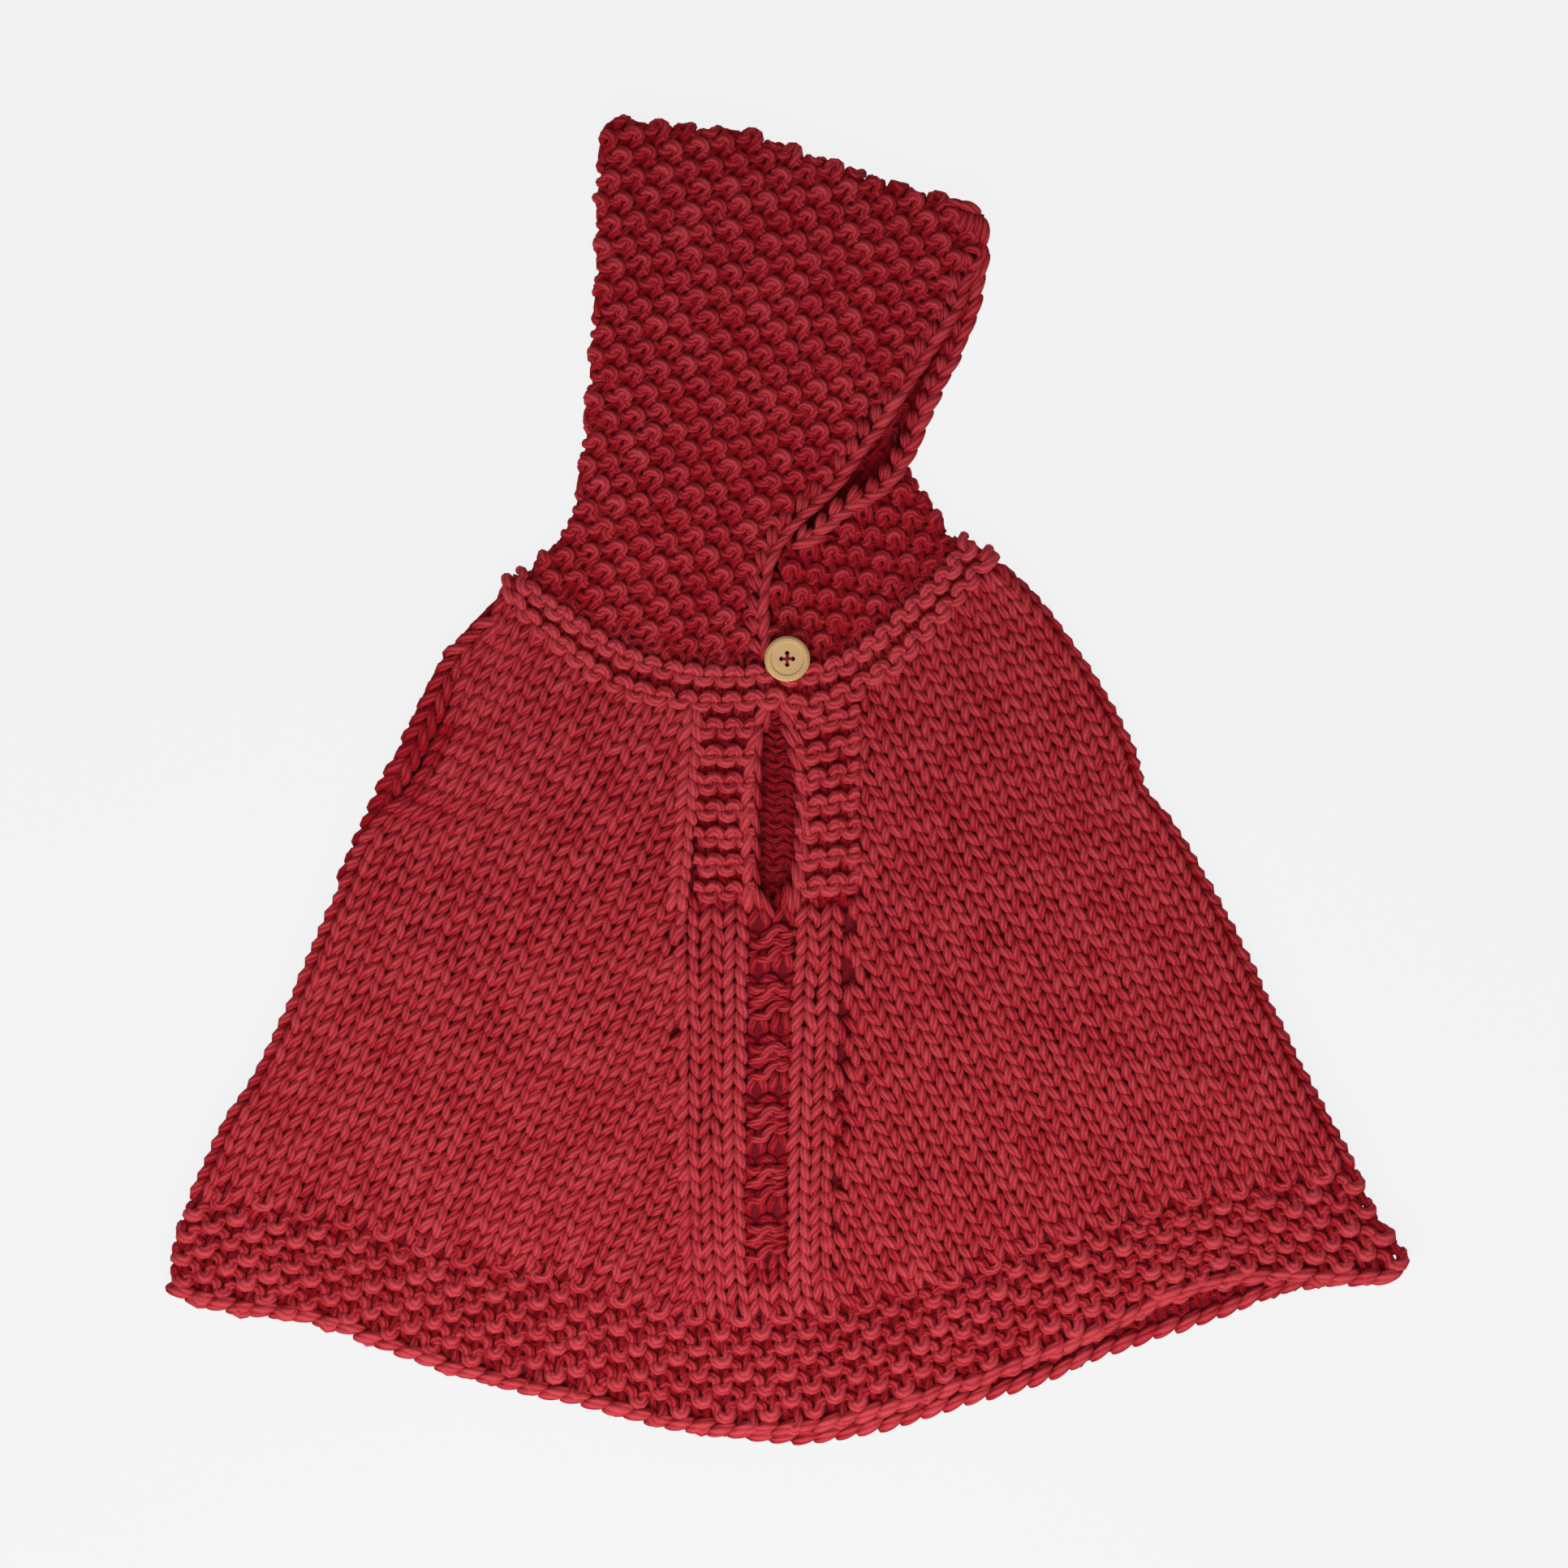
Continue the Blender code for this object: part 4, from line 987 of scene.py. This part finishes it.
def make_shells():
    """The inner cloth of every knitted piece, held a little inside its free and turned edges."""
    shell("back_panel_cloth", "back_panel", back_low, edge("back hem line"), edge("back neck seam"),
          edge("-left side"), edge("-right side"), (0.008, 0.992, 60), (0, 1, 40))
    shell("back_hem_cloth", "back_hem", back_low, edge("back cast-off"), edge("back hem line"),
          edge("-left hem side"), edge("-right hem side"), (0.012, 0.988, 60), (0.1, 1, 8))
    shell("front_left_cloth", "front_left_panel", panel_low, edge("left hem line"), edge("left neck seam"),
          edge("-arm slit"), edge("-left band side", "-left placket side"),
          (0.014, 1, 40), (0, 1, 60))
    shell("front_right_cloth", "front_right_panel", panel_low, edge("right hem line"),
          edge("right neck seam"), edge("-right band side", "-right placket side"), edge("-right side"),
          (0, 0.986, 40), (0, 1, 60))
    shell("front_band_cloth", "front_centre_band", front_low, edge("band hem line"),
          edge("left placket base", "right placket base"), edge("-left band side"), edge("-right band side"),
          (0, 1, 16), (0, 1, 50))
    shell("front_hem_cloth", "front_hem", front_low, edge("front cast-off"), HEM_LINE,
          edge("-left hem side"), edge("-right hem side"), (0.012, 0.988, 80), (0.08, 1, 8))
    shell("placket_left_cloth", "placket_left", front_low, edge("left placket base"),
          edge("left placket head"), edge("-left placket side"), edge("-slit left"),
          (0, 0.9, 12), (0, 1, 24))
    shell("placket_right_cloth", "placket_right", front_low, edge("right placket base"),
          edge("right placket head"), edge("-slit right"), edge("-right placket side"),
          (0.1, 1, 12), (0, 1, 24))
    shell("collar_left_cloth", "collar_left", panel_low, edge("left neck seam", "left placket head"),
          edge("left crease"), edge("left collar end"), edge("collar front"),
          (0.03, 0.99, 36), (0, 1, 8))
    shell("collar_right_cloth", "collar_right", panel_low, edge("right placket head", "right neck seam"),
          edge("right crease"), edge("collar front"), edge("right collar end"),
          (0.01, 0.97, 36), (0, 1, 8))
    shell("collar_back_cloth", "collar_back", back_low, edge("back neck seam"), edge("back crease"),
          edge("left collar end"), edge("right collar end"), (0.02, 0.98, 40), (0, 1, 6))
    shell("hood_near_cloth", "hood_near_side", panel_low, edge("left crease"), edge("hood top"),
          edge("hood back"), edge("near edge"), (0.03, 0.98, 36), (0, 0.98, 44))
    shell("hood_far_cloth", "hood_far_side", back_low, edge("back crease"), edge("hood top"),
          edge("hood back"), edge("neck fold", "far edge"),
          (0.03, 0.98, 36), (0, 0.98, 44))
    shell("hood_neck_cloth", "hood_neck_right", front_low, edge("right crease"), edge("far chain"),
          edge("neck gap"), edge("neck fold"), (0.04, 0.95, 24), (0, 0.93, 14))


make_shells()

# ---------------------------------------------------------------- the front's stitches

LEFT_PLAN = panel_plan("arm slit", True)
RIGHT_PLAN = panel_plan("right side", False)
ARM_GAP = px((549, 890), (522, 938), (494, 980))  # where the arm slit stands open

# The ladder's purl blocks: the middle of each, and the bars of one block from its middle, with lift and
# thickness
LADDER_BLOCKS = ((953, 1163), (950, 1233.5), (948, 1307.5), (946, 1384.5), (943, 1460), (941, 1531.5))
LADDER_BARS = (
    (((-35, 11), (-27, 12), (-19, 7)), 0.0, 1.495),
    (((-25, 1), (-15, -2), (-7, -6), (-2, -14), (6, -20), (15, -18), (19, -13)), 1.2, 2.0125),
    (((7, -9), (16, -11), (26, -15)), 0.8, 1.6675),
    (((-9, 4), (1, -4), (11, -4), (17, 1)), 0.9, 1.3225),
    (((-26, 19), (-14, 19), (-5, 18), (-1, 11), (6, 4), (16, 0)), 1.2, 1.955),
    (((9, 9), (17, 9), (26, 3)), 0.8, 1.725),
)
# Two strands cross at the slit's foot, over the ladder's head
LADDER_HEAD = (px((934, 1096), (942, 1110), (949, 1122), (955, 1132)),
               px((968, 1090), (967, 1106), (965, 1124)))


def hem_loops(plans, signs_of, gauge, **options):
    """The hem's rows: the wales of the left half, the centre band and the right half, each by its own
    plan."""
    wales, rows = grid(0, ALL_WALES, 0, HEM_ROWS)
    return [loops(plan_of, signs_of, wales[part], rows[part], gauge, **options)
            for plan_of, part in zip(plans, sections(wales))]


def make_half_fronts():
    """Stockinette on both sides of the centre band. Beside the open arm slit it sinks by
    3.4 * exp(-(distance / 4.5)^2)."""
    for side, plan_of, loop, first, last, top in (
        ("left", LEFT_PLAN, LEFT_REGION, 0, PANEL_WALES, -52),
        ("right", RIGHT_PLAN, RIGHT_REGION, ALL_WALES - PANEL_WALES, ALL_WALES, -58),
    ):
        wales, rows, sunk = keep(*grid(first, last, top, 0), plan_of, loop, margin=2.6)
        sunk = sunk - 3.4 * np.exp(-((distance_to(plan_of(wales + 0.5, rows + 0.0), ARM_GAP) / 4.5) ** 2))
        yarn_piece(f"front_{side}_stitches",
                   [loops(plan_of, plain_body_signs, wales, rows, KNIT, rings=15, lift=sunk)],
                   f"front_{side}_cloth")


def make_band():
    """The centre band: knit wales, and a ladder of purl blocks that lies deep under the bars across it."""
    wales, rows, sunk = keep(*grid(BAND_FIRST, BAND_LAST, -30, 0), band_plan, BAND_REGION, margin=5.0)
    own = sections(wales)[1]
    wales, rows, sunk = wales[own], rows[own], 2 * sunk[own]
    ladder = on_ladder(wales, rows)[0] & (rows < LADDER_ROWS[-1] + 2)
    beside_it = (wales == LADDER_AT - 2) | (wales == LADDER_AT + 1)
    high = 0.35 + 0.5 * beside_it + sunk
    deep = np.where(body_signs(wales, rows) > 0, -1.2, -1.9) + sunk
    bars = [px(*bar) + px(middle)[0] - px((0, 0))[0] for middle in LADDER_BLOCKS for bar, _, _ in LADDER_BARS]
    bar_lift, bar_thick = np.tile([bar[1:] for bar in LADDER_BARS], (len(LADDER_BLOCKS), 1)).T
    yarn_piece("front_band_stitches", [
        loops(band_plan, body_signs, wales[~ladder], rows[~ladder], KNIT, lift=high[~ladder]),
        loops(band_plan, body_signs, wales[ladder], rows[ladder], GARTER, lift=deep[ladder]),
        lone_strands(bars, bar_lift, bar_thick),
        lone_strands(LADDER_HEAD, lift=(1.4, 0.8), thick=(1.7, 1.5)),
    ], "front_band_cloth")


def make_front_hem():
    """Seed stitch, and a rope of cast-off lobes along its edge."""
    yarn_piece("front_hem_stitches", [
        *hem_loops((LEFT_PLAN, band_plan, RIGHT_PLAN), body_signs, HEM_SEED, sides=8),
        leaves(edge("front cast-off"), pitch=9.6, reach=1.3, insets=(2.6, 7.2), lift=1.5, thick=3.1),
    ], "front_hem_cloth")


# The plackets' garter: the ends of its head and of its foot
LEFT_RIBS = px((857, 889), (928, 889)), px((857, 1124), (928, 1124))
RIGHT_RIBS = px((982, 892), (1057, 872)), px((982, 1118), (1057, 1112))
COLLAR_ROWS = 4
COLLAR_SHIFT = 0.9  # rows from the hood's foot to the neckband's first whole row


def ruled_plan(low, high, wales, rows, shift=0.0):
    """A plan between two lines: wales by even shares of both lines, rows straight from the first to the
    second, all moved on by the shift."""
    def plan_of(u, v):
        u, v = np.broadcast_arrays(u, v)
        bottom, top = at(low, u / wales), at(high, u / wales)
        return bottom + (top - bottom) * ((v + shift) / rows)[..., None]
    return plan_of


def ribs(low, high, wale_count, row_count, lift, shift=0.0):
    """Garter ridges between two lines, each head drawn a little aside."""
    wales, rows = grid(0, wale_count, 0, row_count)
    return loops(ruled_plan(low, high, wale_count, row_count, shift), garter_rows, wales, rows, RIDGE,
                 sides=8, lift=lift, slant=0.15)


def make_plackets():
    """Garter plackets with a knit column outside and a chain of slipped stitches along the slit."""
    yarn_piece("placket_left_stitches", [
        ribs(*LEFT_RIBS, wale_count=3, row_count=14, lift=0.5),
        chain(edge("left placket side"), pitch=6.2, width=8.6, offset=1.4, lifts=(1.6, 1.6), gauge=KNIT),
        leaves(edge("-slit left"), pitch=11.2, reach=1.2, insets=(7.4, 4.2), lift=1.8, thick=2.7),
        leaves(edge("-slit left"), pitch=11.2, reach=1.2, insets=(1.0, 4.2), lift=1.1, thick=2.0),
    ], "placket_left_cloth")
    yarn_piece("placket_right_stitches", [
        ribs(*RIGHT_RIBS, wale_count=3, row_count=14, lift=0.5),
        leaves(edge("slit right"), pitch=10.4, reach=1.4, insets=(1.6, 7.0), lift=1.6, thick=1.9, strands=2),
    ], "placket_right_cloth")


def make_collar():
    """The neckband in front: four rows of garter from the hood's foot to the neck seam."""
    for side, wale_count, crease, seam in (
        ("left", 14, edge("left crease"), edge("left neck seam", "left placket head")),
        ("right", 12, edge("right crease"), edge("right placket head", "right neck seam")),
    ):
        yarn_piece(f"collar_{side}_stitches",
                   [ribs(crease, seam, wale_count, COLLAR_ROWS, lift=1.4, shift=COLLAR_SHIFT)],
                   f"collar_{side}_cloth")


# ---------------------------------------------------------------- the hood's stitches

FAR_CHAIN = catmull_rom(px((985, 672), (1010, 655), (1045, 625), (1086, 601), (1120, 555), (1132, 521),
                           (1162, 463), (1177, 433), (1192, 390), (1203, 350), (1210, 318)))
# Strands that gather at the near half's front corner, the lift and thickness of each, and where they lie
# over the seed stitch
HOOD_CORNER = (
    px((1163, 250), (1177, 250), (1190, 254)),
    px((1180, 252), (1194, 254), (1207, 262)),
    px((1189, 260), (1187, 271), (1183, 284)),
    px((1197, 261), (1196, 275), (1192, 289)),
    px((1205, 264), (1206, 279), (1203, 294)),
    px((1212, 270), (1214, 284), (1212, 301)),
    px((1186, 311), (1196, 307), (1206, 309), (1210, 322)),
    px((1207, 296), (1213, 312), (1210, 330)),
    px((1188, 322), (1193, 333), (1197, 344)),
    px((1203, 318), (1203, 336), (1196, 352)),
)
HOOD_CORNER_YARN = ((0.6, 2.1), (0.9, 2.3), (0.9, 2.0), (1.2, 2.1), (1.1, 2.1),
                    (0.6, 2.2), (0.5, 2.0), (-0.2, 2.3), (0.2, 1.9), (-0.4, 2.3))
HOOD_CORNER_AT = px((1190, 299))[0]
# The foot of the hood's wales and rows, one wale aside and one row up; and those of its neck corner
HOOD_FOOT, HOOD_WALE, HOOD_ROW = np.array([[-115.0, 97.0], [8.85, -3.46], [2.60, 5.15]])
NECK_FOOT, NECK_WALE, NECK_ROW = np.array([[1.0, 58.0], [8.7, 3.9], [-2.1, 5.3]])
CHAIN_END = 20.0  # the near chain ends this far before the front corner


def hood_plan(u, v):
    """Even slanting wales and rows, worked upwards: foot + wales * wale + rows * row."""
    u, v = np.broadcast_arrays(u, v)
    return HOOD_FOOT + u[..., None] * HOOD_WALE + v[..., None] * HOOD_ROW


def neck_plan(u, v):
    """The neck corner's wales and rows, worked upwards and slanting the other way."""
    u, v = np.broadcast_arrays(u, v)
    return NECK_FOOT + u[..., None] * NECK_WALE + v[..., None] * NECK_ROW


def make_hood():
    """Seed stitch with a knit chain along each front edge, and two core strands in the far edge's fold.
    Under the front corner's strands the stitches sink by 1.6 * exp(-(distance / 6)^2)."""
    near_edge, far_edge = edge("near edge"), edge("far edge")
    wales, rows, _ = keep(*grid(-30, 40, -20, 60), hood_plan, HOOD_REGION, clear=near_edge, gap=8.0)
    away = np.linalg.norm(hood_plan(wales + 0.5, rows) - HOOD_CORNER_AT, axis=1)
    sunk = -1.6 * np.exp(-((away / 6.0) ** 2))
    yarn_piece("hood_near_stitches", [loops(hood_plan, seed, wales, rows, SEED, sides=8, lift=sunk)],
               "hood_near_cloth")
    low_edge = run(near_edge, np.linspace(0, lengths(near_edge)[-1] - CHAIN_END, 80))
    yarn_piece("hood_near_chain", [
        *vees(low_edge, pitch=8.8, middle=4.9, outer=2.1, inner=10.6, lift=(1.5, 0.9), thick=(2.5, 1.6)),
        lone_strands(HOOD_CORNER, *np.transpose(HOOD_CORNER_YARN)),
    ], "hood_near_cloth")
    wales, rows, sunk = keep(*grid(-4, 20, -14, 18), neck_plan, NECK_REGION, margin=2.5,
                             clear=FAR_CHAIN, gap=5.5)
    yarn_piece("hood_neck_stitches", [
        loops(neck_plan, seed, wales, rows, SEED, sides=8, lift=sunk - 0.6),
        *vees(FAR_CHAIN, pitch=9.4, middle=0.9, outer=-2.6, inner=5.2, lift=(2.2, -2.8), thick=(2.6, 1.7)),
        lone_strands([beside(far_edge, 2.6), beside(far_edge, 6.0)], (-3.4, -3.6), (2.4, 2.4), 40),
    ], "hood_neck_cloth")


# ---------------------------------------------------------------- the back's stitches

BACK_HEM_LINE = edge("back hem line")
BACK_GAUGE = KNIT._replace(depth=1.3, thick=1.9)
BACK_SEED = SEED._replace(depth=0.9, bump=0.4, thick=2.1)
BACK_COLLAR = GARTER._replace(depth=0.9, thick=2.0)
BACK_TOP = np.array([58.0, 61.0])  # height in the plan of the centre wales' two top corners
BACK_LEAN = 6.0  # how far to the right of their feet these corners are
SLIT_SHOWS = np.array([[-4.0, -10.0], [22.0, 52.0]])  # middle and half size of what the neck slit shows
SIDE_SHOWS = 9.0  # stitches this near the outline show past the front's edge
SIDE_SINK = 1.6
ARM_STRIP = catmull_rom(px((612, 764), (580, 790), (553, 820), (538, 850), (524, 880), (510, 908), (496, 935),
                           (482, 962), (469, 990), (455, 1020), (441, 1050), (428, 1082)))


def back_band_plan(u, v):
    """The back's centre wales, upright and almost even: they lean by 0.02 of their height."""
    u, v = np.broadcast_arrays(u, v)
    foot = at(BACK_HEM_LINE, along_hem(u) / HEM_TOTAL)
    y = foot[..., 1] + BAND_STEP * np.maximum(-v, 0)
    upper = np.stack([foot[..., 0] + (y - foot[..., 1]) * 0.02, y], axis=-1)
    return np.where((v < 0)[..., None], upper, hem_plan(u, v, "back cast-off", BACK_HEM_LINE))


def back_loops(left, right):
    """The back's stitches above the hem: finest where the neck slit shows them, sunk and plainer at the
    sides, plainest where they are hidden."""
    low = run(BACK_HEM_LINE, np.array([LEFT_RUN, BAND_RUN]))
    high = np.column_stack([low[:, 0] + BACK_LEAN, BACK_TOP])
    neck = edge("back neck seam")
    centre_loop = np.array([low[0], low[1], high[1], high[0]])
    left_loop = joined(np.array([low[0], high[0]]), neck[neck[:, 0] < high[0, 0]][::-1], edge("left side"),
                       BACK_HEM_LINE[BACK_HEM_LINE[:, 0] < low[0, 0]])
    right_loop = joined(np.array([low[1], high[1]]), neck[neck[:, 0] > high[1, 0]], edge("right side"),
                        BACK_HEM_LINE[BACK_HEM_LINE[:, 0] > low[1, 0]][::-1])
    batches = []
    for plan, loop, first, last, margin in (
        (left, left_loop, 0, PANEL_WALES, 4.0),
        (back_band_plan, centre_loop, BAND_FIRST, BAND_LAST, 1.0),
        (right, right_loop, ALL_WALES - PANEL_WALES, ALL_WALES, 4.0),
    ):
        wales, rows, sunk = keep(*grid(first, last, -60, 0), plan, loop, margin)
        middle = plan(wales + 0.5, rows)
        in_slit = (abs(middle - SLIT_SHOWS[0]) < SLIT_SHOWS[1]).all(axis=1)
        at_side = ~in_slit & (distance_to(middle, OUTLINE) < SIDE_SHOWS)
        sunk = sunk - SIDE_SINK * at_side
        for part, rings, sides in ((~in_slit & ~at_side, 9, 4), (at_side, 11, 6), (in_slit, 17, 6)):
            if part.any():
                batches.append(loops(plan, plain_body_signs, wales[part], rows[part], BACK_GAUGE, front=False,
                                     rings=rings, sides=sides, lift=sunk[part]))
    return batches


def make_back():
    """The back: its knit side lies on the floor and its rows go straight on through the centre. Only its
    edges, and a little of it through the neck slit, show from above. A core strand fills each side fold."""
    left = panel_plan("left side", True, BACK_HEM_LINE)
    right = panel_plan("right side", False, BACK_HEM_LINE)
    hidden = {"front": False, "rings": 9, "sides": 4}
    core = [beside(edge("left side"), 3.4), beside(edge("right side"), -3.8)]
    yarn_piece("back_stitches", [
        *back_loops(left, right),
        lone_strands(core, lift=(-2.7, -2.7), thick=(2.6, 2.6), steps=80),
    ], "back_panel_cloth")
    yarn_piece("arm_slit_chain", [
        chain(ARM_STRIP, pitch=8.4, width=9.6, offset=1.0, lifts=(0.0, -3.4), gauge=CHAIN, turned=False),
        chain(ARM_STRIP, pitch=8.4, width=10.5, offset=8.0, lifts=(-0.8, -4.2), stop=60.0, gauge=CHAIN,
              turned=False),
    ], "back_panel_cloth")
    yarn_piece("back_hem_stitches", [
        *hem_loops((left, back_band_plan, right), plain_body_signs, BACK_SEED, **hidden),
        leaves(edge("back cast-off"), pitch=9.8, reach=1.3, insets=(2.6, 8.2), lift=-4.0, thick=3.0),
    ], "back_hem_cloth")
    collar = ruled_plan(edge("back crease"), edge("back neck seam"), 24, COLLAR_ROWS)
    yarn_piece("collar_back_stitches",
               [loops(collar, garter_rows, *grid(0, 24, 0, COLLAR_ROWS), BACK_COLLAR, **hidden)],
               "collar_back_cloth")
    far_edge = edge("far edge")
    far_loop = region("back crease", "neck fold", "far edge", "-hood top", "-hood back")
    wales, rows, _ = keep(*grid(-30, 44, -30, 60), hood_plan, far_loop, clear=far_edge, gap=7.0)
    yarn_piece("hood_far_stitches",
               [loops(hood_plan, seed, wales, rows, BACK_SEED, front=False, rings=9, sides=6)],
               "hood_far_cloth")


make_half_fronts()
make_band()
make_front_hem()
make_plackets()
make_collar()
make_hood()
make_back()

# ---------------------------------------------------------------- the button

HOLE_CIRCLE = 2.5  # from the button's middle to each hole's
THREAD = 0.33  # radius of one strand of the sewing wool
THREAD_DIP = 1.7  # how far the strands' ends lie under the button's top
THREAD_RISE = 1.3  # how far their middle lies over their ends
THREAD_APART = 0.3  # each strand from the middle of its pair
OVER_CROSSING = 0.25  # how much higher the upper pair lies
THREAD_RAISED = 2.0  # it is lit as if it lay so much prouder of the cloth


def make_button():
    """The button's wood, and the wool that is sewn crosswise through its four holes in two pairs of
    strands. Along a strand t goes from -0.86 to 0.86 of the way to its holes, and height = top - dip + rise
    * sqrt(cos(pi t / 2)), so that the ends go down into the holes."""
    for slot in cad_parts["button"].material_slots:
        slot.material = WOOD
    t = np.linspace(-0.86, 0.86, 13)[None]
    way = np.array([[1.0, 0.06], [0.06, 1.0]])
    aside_way = np.array([[-0.06, 1.0], [1.0, -0.06]])
    strand = np.array([-THREAD_APART, THREAD_APART])
    plan = BUTTON_AT + HOLE_CIRCLE * way[:, None, None] * t[..., None]
    plan = plan + aside_way[:, None, None] * strand[None, :, None, None]
    rise = np.broadcast_to(THREAD_RISE * np.cos(np.pi / 2 * t) ** 0.5, (2, 2, 13))
    rise = rise + np.array([0.0, OVER_CROSSING])[:, None, None]
    centre = np.concatenate([plan, (BUTTON_TOP - THREAD_DIP + rise)[..., None]], axis=-1).reshape(4, 13, 3)
    out = np.broadcast_to([0.0, 0.0, 1.0], centre.shape)
    thread = (centre, out, np.full((4, 13), THREAD), 6, random.random(4), rise.reshape(4, 13) + THREAD_RAISED)
    yarn_piece("button_thread", [thread], "placket_left_cloth")


make_button()
